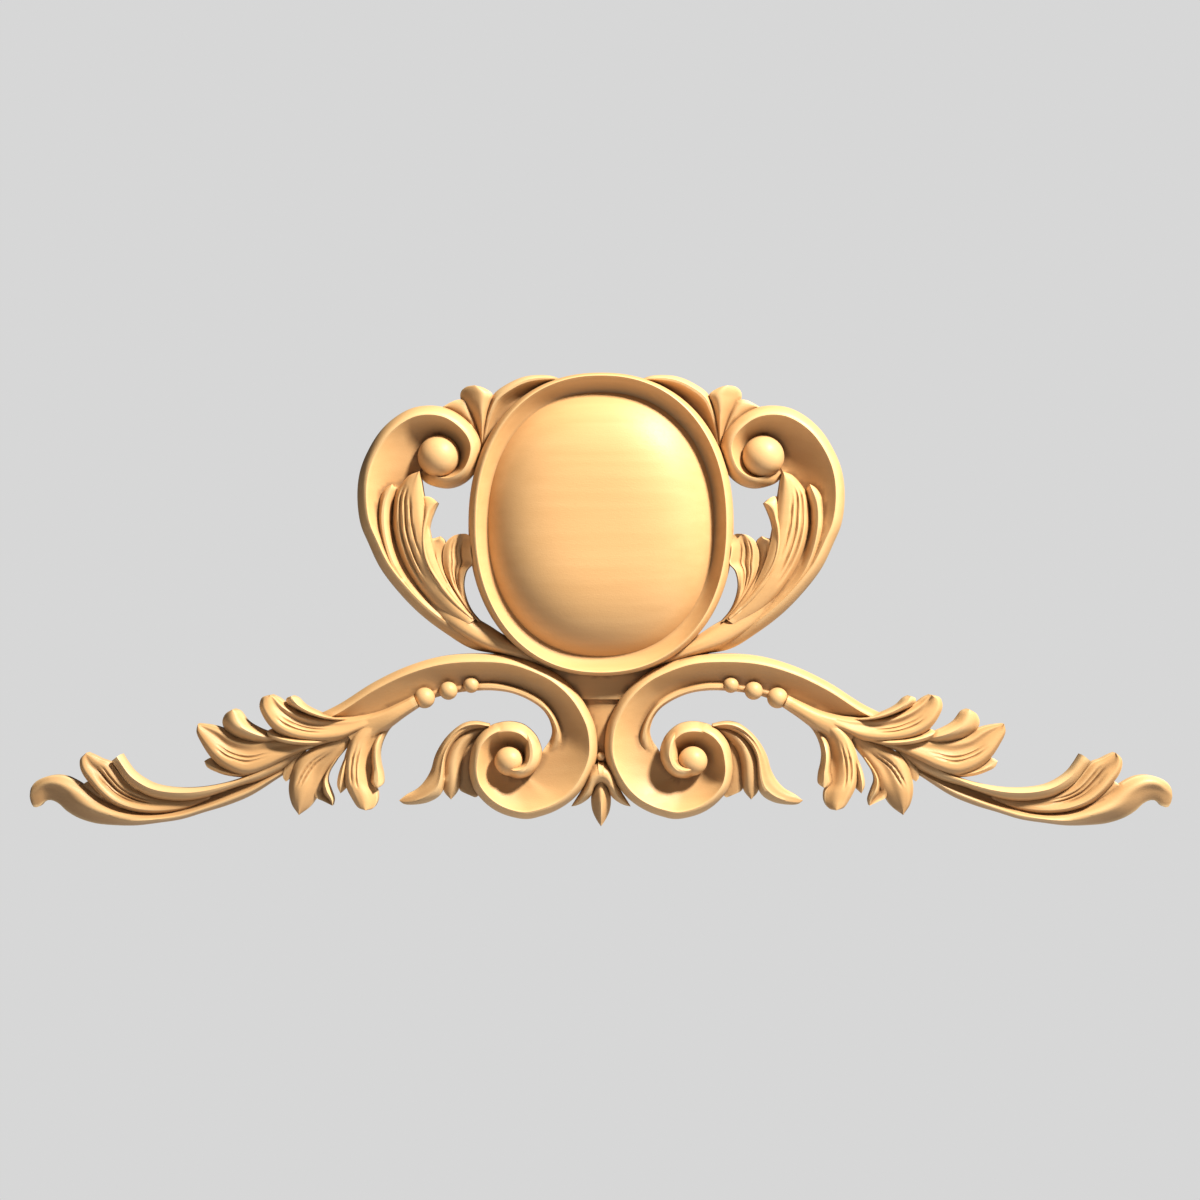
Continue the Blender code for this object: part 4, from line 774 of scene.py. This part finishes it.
def centre_panel():
    knob = (0, -231.5)
    middle("panel_upper", PANEL_HEIGHT,
           [(60, -136), (50, -152), (38, -164), (30, -174.5)],
           [[80, 95, 100, 95, 80], [82, 97, 100, 97, 82], [84, 94, 97, 94, 84]])
    middle("panel_lower", PANEL_HEIGHT,
           [(32, -170), (26, -180), (18, -196), (13, -220), (12, -250), (14, -262)],
           [[68, 76, 80, 76, 68], [68, 79, 83, 79, 68], [62, 74, 77, 74, 62], [60, 72, 75, 72, 60]])
    middle("drop", DROP_RELIEF,
           [(0, -301.7), (4, -296), (8.5, -286.5), (10, -276), (9, -266), (6, -258), (5, -250)],
           [[60, 60, 60, 60, 60], [50, 70, 86, 70, 50], [56, 80, 92, 80, 56], [60, 72, 78, 72, 60]])
    leaf("calyx", LOWER, DROP_RELIEF,
         [(29.5, -282), (24.5, -274), (19.6, -266), (15.8, -255.5), (12.6, -246.5), (8, -240), (-3, -237)],
         [(29.5, -282), (24, -280.8), (16.5, -277), (10, -271), (6.5, -262.5), (2.5, -258), (-2, -256.5)],
         [[50, 52, 54, 52, 50], [56, 74, 80, 76, 60], [62, 88, 96, 90, 68], [70, 98, 106, 102, 80],
          [72, 100, 108, 106, 88]])
    ball("knob", LOWER.real(knob), KNOB_DIAMETER, KNOB_TOP_HEIGHT, KNOB_SEGMENTS)


centre_panel()
print(len(carved), "closed strips are ready to be fused")

# %% [markdown]
# ## The beads, with Geometry Nodes
# Three beads of falling size sit on the fillet. They repeat along a line, which is what
# Geometry Nodes are for: the tree turns the line's corners into points, puts a ball on each
# and scales it in even steps from the first size to the last. The result becomes a plain
# mesh and is fused with the rest.

# %% A tree that strings balls of falling size along a line
BEAD_SEGMENTS = 32
UNIT_BALL_RADIUS = 0.5
BEAD_SQUARES = ((176.2, -173.2), (152.4, -166), (129.6, -160.4))


def bead_tree():
    tree = bpy.data.node_groups.new("Beads of falling size", "GeometryNodeTree")
    face = tree.interface
    face.new_socket("Geometry", in_out="INPUT", socket_type="NodeSocketGeometry")
    sizes = {}
    for label in ("First diameter", "Last diameter"):
        sizes[label] = face.new_socket(label, in_out="INPUT", socket_type="NodeSocketFloat").identifier
    sizes["Count"] = face.new_socket("Count", in_out="INPUT", socket_type="NodeSocketInt").identifier
    face.new_socket("Geometry", in_out="OUTPUT", socket_type="NodeSocketGeometry")
    nodes, links = tree.nodes, tree.links
    start = nodes.new("NodeGroupInput")
    points = nodes.new("GeometryNodeMeshToPoints")
    index = nodes.new("GeometryNodeInputIndex")
    less = nodes.new("ShaderNodeMath")
    less.operation = "SUBTRACT"
    less.inputs[1].default_value = 1
    share = nodes.new("ShaderNodeMath")
    share.operation = "DIVIDE"
    size = nodes.new("ShaderNodeMapRange")
    sphere = nodes.new("GeometryNodeMeshUVSphere")
    sphere.inputs["Segments"].default_value = BEAD_SEGMENTS
    sphere.inputs["Rings"].default_value = BEAD_SEGMENTS // 2
    sphere.inputs["Radius"].default_value = UNIT_BALL_RADIUS
    spread = nodes.new("GeometryNodeInstanceOnPoints")
    real = nodes.new("GeometryNodeRealizeInstances")
    finish = nodes.new("GeometryNodeSetMaterial")
    end = nodes.new("NodeGroupOutput")
    links.new(start.outputs["Geometry"], points.inputs["Mesh"])
    links.new(start.outputs["Count"], less.inputs[0])
    links.new(index.outputs[0], share.inputs[0])
    links.new(less.outputs[0], share.inputs[1])
    links.new(share.outputs[0], size.inputs["Value"])
    links.new(start.outputs["First diameter"], size.inputs["To Min"])
    links.new(start.outputs["Last diameter"], size.inputs["To Max"])
    links.new(points.outputs["Points"], spread.inputs["Points"])
    links.new(sphere.outputs["Mesh"], spread.inputs["Instance"])
    links.new(size.outputs["Result"], spread.inputs["Scale"])
    links.new(spread.outputs["Instances"], real.inputs["Geometry"])
    links.new(real.outputs["Geometry"], finish.inputs["Geometry"])
    links.new(finish.outputs["Geometry"], end.inputs["Geometry"])
    return tree, sizes


# %% String the beads on both sides
def beads():
    tree, sizes = bead_tree()
    places = LOWER.real(BEAD_SQUARES)
    for side in (1, -1):
        line = bpy.data.meshes.new("bead_line")
        depth = BEAD_TOP_HEIGHT - FIRST_BEAD_DIAMETER / 2
        line.from_pydata([(side * x * MM, -depth * MM, z * MM) for x, z in places], [(0, 1), (1, 2)], [])
        holder = placed("beads", line)
        string = holder.modifiers.new("Beads", "NODES")
        string.node_group = tree
        string[sizes["First diameter"]] = FIRST_BEAD_DIAMETER * MM
        string[sizes["Last diameter"]] = LAST_BEAD_DIAMETER * MM
        string[sizes["Count"]] = len(BEAD_SQUARES)
        bpy.context.view_layer.update()
        plain = bpy.data.meshes.new_from_object(holder.evaluated_get(bpy.context.evaluated_depsgraph_get()))
        bpy.data.objects.remove(holder)
        plain.materials.clear()
        carved.append(placed("beads", plain))
    return len(plain.polygons)


print("faces in one string of beads:", beads())

# %% [markdown]
# ## Fuse the strips into one carving
# The real overlay is one board, so the strips become one body. A union throws away what lies
# hidden and keeps only the outer skin, and one cut makes the flat back. The manifold solver
# needs closed bodies, which these are, and is quick on fine meshes. Afterwards the mesh is
# welded, and bare edges and slivers that hang on by one edge are taken off.

# %% Fuse, cut the back flat and seal the mesh
def fused(parts):
    body, others = parts[0], parts[1:]
    group = bpy.data.collections.new("carved_strips")
    for part in others:
        group.objects.link(part)
    union = body.modifiers.new("Union", "BOOLEAN")
    union.operation = "UNION"
    union.operand_type = "COLLECTION"
    union.collection = group
    union.solver = "MANIFOLD"
    slab_mesh = bmesh.new()
    bmesh.ops.create_cube(slab_mesh, size=SLAB_SIZE)
    bmesh.ops.translate(slab_mesh, verts=slab_mesh.verts, vec=(0, SLAB_SIZE / 2, 0))
    keep(slab_mesh, "back_slab")
    cut = body.modifiers.new("Flat back", "BOOLEAN")
    cut.operation = "DIFFERENCE"
    cut.object = carved[-1]
    cut.solver = "MANIFOLD"
    bpy.context.view_layer.update()
    graph = bpy.context.evaluated_depsgraph_get()
    mesh = bpy.data.meshes.new_from_object(body.evaluated_get(graph))
    for part in carved:
        bpy.data.objects.remove(part, do_unlink=True)
    bpy.data.collections.remove(group)
    return mesh


def seal(mesh):
    shell = bmesh.new()
    shell.from_mesh(mesh)
    bmesh.ops.triangulate(shell, faces=shell.faces)
    bmesh.ops.dissolve_degenerate(shell, dist=WELD, edges=shell.edges)
    bmesh.ops.remove_doubles(shell, verts=shell.verts, dist=WELD)
    bmesh.ops.triangulate(shell, faces=shell.faces)
    while loose := [face for face in shell.faces if sum(edge.is_boundary for edge in face.edges) > 1]:
        bmesh.ops.delete(shell, geom=loose, context="FACES")
    bmesh.ops.delete(shell, geom=[edge for edge in shell.edges if edge.is_wire], context="EDGES")
    open_edges = sum(not edge.is_manifold for edge in shell.edges)
    print("the carving has", len(shell.faces), "triangles and", open_edges, "open edges")
    shell.to_mesh(mesh)
    shell.free()


carving_mesh = fused(carved[:])
seal(carving_mesh)
carving_mesh.shade_smooth()
carving_mesh.set_sharp_from_angle(angle=math.radians(SHARP_ANGLE))
carving_mesh.materials.clear()
carving = placed("carved_wood_overlay", carving_mesh)

# %% [markdown]
# ## The wood
# The overlay is bare light wood, sanded and oiled, so it is matt with a warm tan colour. Fine
# grain runs along its width, pale and dark streaks vary slowly, and raised edges are a little
# lighter where hands and sandpaper have been. Creases and the low ground are painted a darker
# brown as shade. The grain and the wear with its painted shade are node groups with named
# inputs, because a second wood could use them with other values.

# %% A grain group: streaks along one axis, pores and slow changes of colour
def new_group(label, inputs, outputs):
    group = bpy.data.node_groups.new(label, "ShaderNodeTree")
    for name, kind, value in inputs:
        socket = group.interface.new_socket(name, in_out="INPUT", socket_type=kind)
        if value is not None:
            socket.default_value = value
    for name, kind in outputs:
        group.interface.new_socket(name, in_out="OUTPUT", socket_type=kind)
    return group, group.nodes.new("NodeGroupInput"), group.nodes.new("NodeGroupOutput")


def noise(group, vector, scale, detail, roughness=0.55):
    node = group.nodes.new("ShaderNodeTexNoise")
    node.inputs["Scale"].default_value = scale
    node.inputs["Detail"].default_value = detail
    node.inputs["Roughness"].default_value = roughness
    group.links.new(vector, node.inputs["Vector"])
    return node.outputs["Fac"]


def stretched(group, vector, scale):
    node = group.nodes.new("ShaderNodeMapping")
    node.inputs["Scale"].default_value = scale
    group.links.new(vector, node.inputs["Vector"])
    return node.outputs["Vector"]


def ramp(group, value, low, high):
    node = group.nodes.new("ShaderNodeMapRange")
    node.inputs["From Min"].default_value = low
    node.inputs["From Max"].default_value = high
    group.links.new(value, node.inputs["Value"])
    return node.outputs["Result"]


def combined(group, operation, *values):
    node = group.nodes.new("ShaderNodeMath")
    node.operation = operation
    for value, socket in zip(values, node.inputs):
        if isinstance(value, float):
            socket.default_value = value
        else:
            group.links.new(value, socket)
    return node.outputs[0]


def mixed(group, factor, first, second):
    node = group.nodes.new("ShaderNodeMix")
    node.data_type = "RGBA"
    group.links.new(factor, node.inputs["Factor"])
    group.links.new(first, node.inputs[6])
    group.links.new(second, node.inputs[7])
    return node.outputs[2]


STREAK_SCALE = (5.0, 110.0, 150.0)
CLOUD_SCALE = (4.0, 9.0, 9.0)
PORE_SCALE = (260.0, 1500.0, 1500.0)
SPECKLE_SCALE = (1100.0, 1100.0, 1100.0)
STREAK_SHARE = 0.55
TONE_RANGE = (0.34, 0.66)
PORE_TONE_RANGE = (0.60, 0.78)
PORE_MATT_RANGE = (0.55, 0.75)


def wood_grain_group():
    colours = [("Vector", "NodeSocketVector", None),
               ("Pale", "NodeSocketColor", (0.70, 0.425, 0.20, 1)),
               ("Dark", "NodeSocketColor", (0.63, 0.365, 0.16, 1))]
    group, start, end = new_group("Wood grain", colours,
                                  [("Color", "NodeSocketColor"), ("Height", "NodeSocketFloat"),
                                   ("Pores", "NodeSocketFloat")])
    vector = start.outputs["Vector"]
    streaks = noise(group, stretched(group, vector, STREAK_SCALE), 1.0, 6.0)
    clouds = noise(group, stretched(group, vector, CLOUD_SCALE), 1.0, 3.0)
    pores = noise(group, stretched(group, vector, PORE_SCALE), 1.0, 2.0)
    speckle = noise(group, stretched(group, vector, SPECKLE_SCALE), 1.0, 3.0)
    total = combined(group, "MULTIPLY_ADD", streaks, STREAK_SHARE,
                     combined(group, "MULTIPLY", clouds, 1 - STREAK_SHARE))
    tone = ramp(group, total, *TONE_RANGE)
    base = mixed(group, tone, start.outputs["Dark"], start.outputs["Pale"])
    pitted = mixed(group, ramp(group, pores, *PORE_TONE_RANGE), base, start.outputs["Dark"])
    group.links.new(pitted, end.inputs["Color"])
    group.links.new(combined(group, "ADD", pores, speckle), end.inputs["Height"])
    group.links.new(ramp(group, pores, *PORE_MATT_RANGE), end.inputs["Pores"])
    return group


# %% A wear and shade group: lighter on worn ridges, painted shade in creases and on the low ground, and neither on the sawn back
BACK_MARGIN = 0.8
# Painted shade darkens the carving from 25 mm of relief down to 6 mm and below, in place of the shadow on
# the low ground.
SHADE_TOP = 25.0
SHADE_BASE = 6.0
RIDGE_RANGE = (0.51, 0.58)
# Pointiness below this range marks creases, which get painted shade.
CREASE_SHADE_RANGE = (0.492, 0.43)


def wear_and_shade_group():
    # The dark brown colour below is painted shade, laid into creases and onto the low ground; the lighter
    # one is wear on the ridges.
    inputs = [("Color", "NodeSocketColor", None), ("Worn", "NodeSocketColor", (0.88, 0.66, 0.38, 1)),
              ("Hollow", "NodeSocketColor", (0.17, 0.085, 0.040, 1)), ("Vector", "NodeSocketVector", None),
              ("Wear", "NodeSocketFloat", 0.5), ("Depth", "NodeSocketFloat", 0.65),
              ("Dust", "NodeSocketFloat", 0.62)]
    group, start, end = new_group("Edge wear and hollows", inputs, [("Color", "NodeSocketColor")])
    shape = group.nodes.new("ShaderNodeNewGeometry")
    ridge = ramp(group, shape.outputs["Pointiness"], *RIDGE_RANGE)
    crease_shade = ramp(group, shape.outputs["Pointiness"], *CREASE_SHADE_RANGE)
    axes = group.nodes.new("ShaderNodeSeparateXYZ")
    group.links.new(start.outputs["Vector"], axes.inputs["Vector"])
    low = ramp(group, axes.outputs["Y"], -SHADE_TOP * MM, -SHADE_BASE * MM)
    front = ramp(group, axes.outputs["Y"], -BACK_MARGIN * MM, -2 * BACK_MARGIN * MM)
    shaded = start.outputs["Color"]
    # Low ground and creases are painted darker as shade; ridges are painted lighter as wear.
    for value, strength, colour in ((low, "Dust", "Hollow"), (ridge, "Wear", "Worn"),
                                    (crease_shade, "Depth", "Hollow")):
        share = combined(group, "MULTIPLY", combined(group, "MULTIPLY", value, front),
                         start.outputs[strength])
        shaded = mixed(group, share, shaded, start.outputs[colour])
    group.links.new(shaded, end.inputs["Color"])
    return group


# %% The wood material itself
BUMP_STRENGTH = 0.25
BUMP_DISTANCE = 0.3 * MM
ROUGHNESS_RANGE = (0.46, 0.62)
SPECULAR = 0.35


def carved_wood():
    material = bpy.data.materials.new("carved_wood")
    material.use_nodes = True
    tree = material.node_tree
    shader = tree.nodes["Principled BSDF"]
    place = tree.nodes.new("ShaderNodeTexCoord")
    grain = tree.nodes.new("ShaderNodeGroup")
    grain.node_tree = wood_grain_group()
    # This group adds ridge wear and painted shade in the creases and on the low ground.
    wear_and_shade = tree.nodes.new("ShaderNodeGroup")
    wear_and_shade.node_tree = wear_and_shade_group()
    bump = tree.nodes.new("ShaderNodeBump")
    bump.inputs["Strength"].default_value = BUMP_STRENGTH
    bump.inputs["Distance"].default_value = BUMP_DISTANCE
    rough = tree.nodes.new("ShaderNodeMapRange")
    rough.inputs["To Min"].default_value, rough.inputs["To Max"].default_value = ROUGHNESS_RANGE
    tree.links.new(place.outputs["Object"], grain.inputs["Vector"])
    tree.links.new(grain.outputs["Color"], wear_and_shade.inputs["Color"])
    tree.links.new(place.outputs["Object"], wear_and_shade.inputs["Vector"])
    tree.links.new(wear_and_shade.outputs["Color"], shader.inputs["Base Color"])
    tree.links.new(grain.outputs["Height"], bump.inputs["Height"])
    tree.links.new(bump.outputs["Normal"], shader.inputs["Normal"])
    tree.links.new(grain.outputs["Pores"], rough.inputs["Value"])
    tree.links.new(rough.outputs["Result"], shader.inputs["Roughness"])
    shader.inputs["Specular IOR Level"].default_value = SPECULAR
    return material


carving_mesh.materials.append(carved_wood())

# %% [markdown]
# ## Hand the piece to the frame
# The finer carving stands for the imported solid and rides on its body. The solid itself stays
# hidden and keeps its place for collisions.

# %% Ride and replace
node = next(iter(frame["nodes"]))
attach(carving, "root")
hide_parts(node)

# %% [markdown]
# ## Floor, light and camera
# The carving hangs, so the floor lies well below it and shows from raised angles only. It
# glows a little, a painted light that stands in for the light of a bright room, so that the
# shadow on it stays soft. A lamp stands high on the right, a weak one fills the left, and the
# world is pale. The camera looks straight at the front with a long lens, as the photograph does.

# %% The floor
def plain_material(label, colour, roughness, glow):
    material = bpy.data.materials.new(label)
    material.use_nodes = True
    shader = material.node_tree.nodes["Principled BSDF"]
    shader.inputs["Base Color"].default_value = colour
    shader.inputs["Roughness"].default_value = roughness
    shader.inputs["Emission Color"].default_value = colour
    shader.inputs["Emission Strength"].default_value = glow
    return material


FLOOR_DROP = 0.9
FLOOR_RADIUS = 2.2
FLOOR_SEGMENTS = 96
FLOOR_ROUGHNESS = 0.8
FLOOR_COLOUR = (0.36, 0.37, 0.40, 1)
# The floor's glow is painted light: it lifts the shadow on the floor as room light would.
FLOOR_GLOW = 0.5
floor_grid = bmesh.new()
bmesh.ops.create_circle(floor_grid, cap_ends=True, segments=FLOOR_SEGMENTS, radius=FLOOR_RADIUS)
bmesh.ops.translate(floor_grid, verts=floor_grid.verts, vec=(0, 0, -FLOOR_DROP))
floor_mesh = bpy.data.meshes.new("studio_floor")
floor_grid.to_mesh(floor_mesh)
floor_grid.free()
floor_mesh.materials.append(plain_material("pale_floor", FLOOR_COLOUR, FLOOR_ROUGHNESS, FLOOR_GLOW))
placed("studio_floor", floor_mesh)

# %% The lights
AIM = (0, 0, -0.05)
KEY_PLACE = (1.39, -1.26, 1.80)
KEY_SIZE = 0.42
KEY_POWER = 200
KEY_COLOUR = (1.0, 0.93, 0.78)
FILL_PLACE = (-1.6, -2.0, 0.3)
FILL_SIZE = 1.6
FILL_POWER = 3
FILL_COLOUR = (1.0, 0.95, 0.9)
SKY_COLOUR = (0.80, 0.80, 0.80, 1)
SKY_LIGHT = 0.08
SKY_SEEN = 0.85


def soft_light(label, place, size, power, colour):
    lamp = bpy.data.lights.new(label, "AREA")
    lamp.shape = "DISK"
    lamp.size = size
    lamp.energy = power
    lamp.color = colour
    holder = placed(label, lamp)
    holder.location = place
    holder.rotation_euler = Vector(np.subtract(AIM, place)).to_track_quat("-Z", "Y").to_euler()


soft_light("key_light", KEY_PLACE, KEY_SIZE, KEY_POWER, KEY_COLOUR)
soft_light("fill_light", FILL_PLACE, FILL_SIZE, FILL_POWER, FILL_COLOUR)
world = bpy.data.worlds.new("pale_studio")
bpy.context.scene.world = world
world.use_nodes = True
sky = world.node_tree.nodes["Background"]
sky.inputs["Color"].default_value = SKY_COLOUR
seen = world.node_tree.nodes.new("ShaderNodeLightPath")
strength = world.node_tree.nodes.new("ShaderNodeMapRange")
strength.inputs["To Min"].default_value = SKY_LIGHT
strength.inputs["To Max"].default_value = SKY_SEEN
world.node_tree.links.new(seen.outputs["Is Camera Ray"], strength.inputs["Value"])
world.node_tree.links.new(strength.outputs["Result"], sky.inputs["Strength"])

# %% The camera
PHOTO_SIZE = 1200
PHOTO_SQUARE = 0.7 * MM
CENTRE_COLUMN = 601.0
OVAL_ROW = 524.5
LENS = 100.0
SENSOR = 36.0
RELIEF_PLANE = -0.012

lens_data = bpy.data.cameras.new("front_camera")
lens_data.lens = LENS
lens_data.sensor_width = SENSOR
camera = placed("front_camera", lens_data)
reach = PHOTO_SIZE * PHOTO_SQUARE * LENS / SENSOR
camera.location = ((PHOTO_SIZE / 2 - CENTRE_COLUMN) * PHOTO_SQUARE, RELIEF_PLANE - reach,
                   (OVAL_ROW - PHOTO_SIZE / 2) * PHOTO_SQUARE)
camera.rotation_euler = (math.pi / 2, 0, 0)
bpy.context.scene.camera = camera
bpy.context.scene.view_settings.view_transform = "Standard"
print("the camera stands", round(reach, 3), "m away")
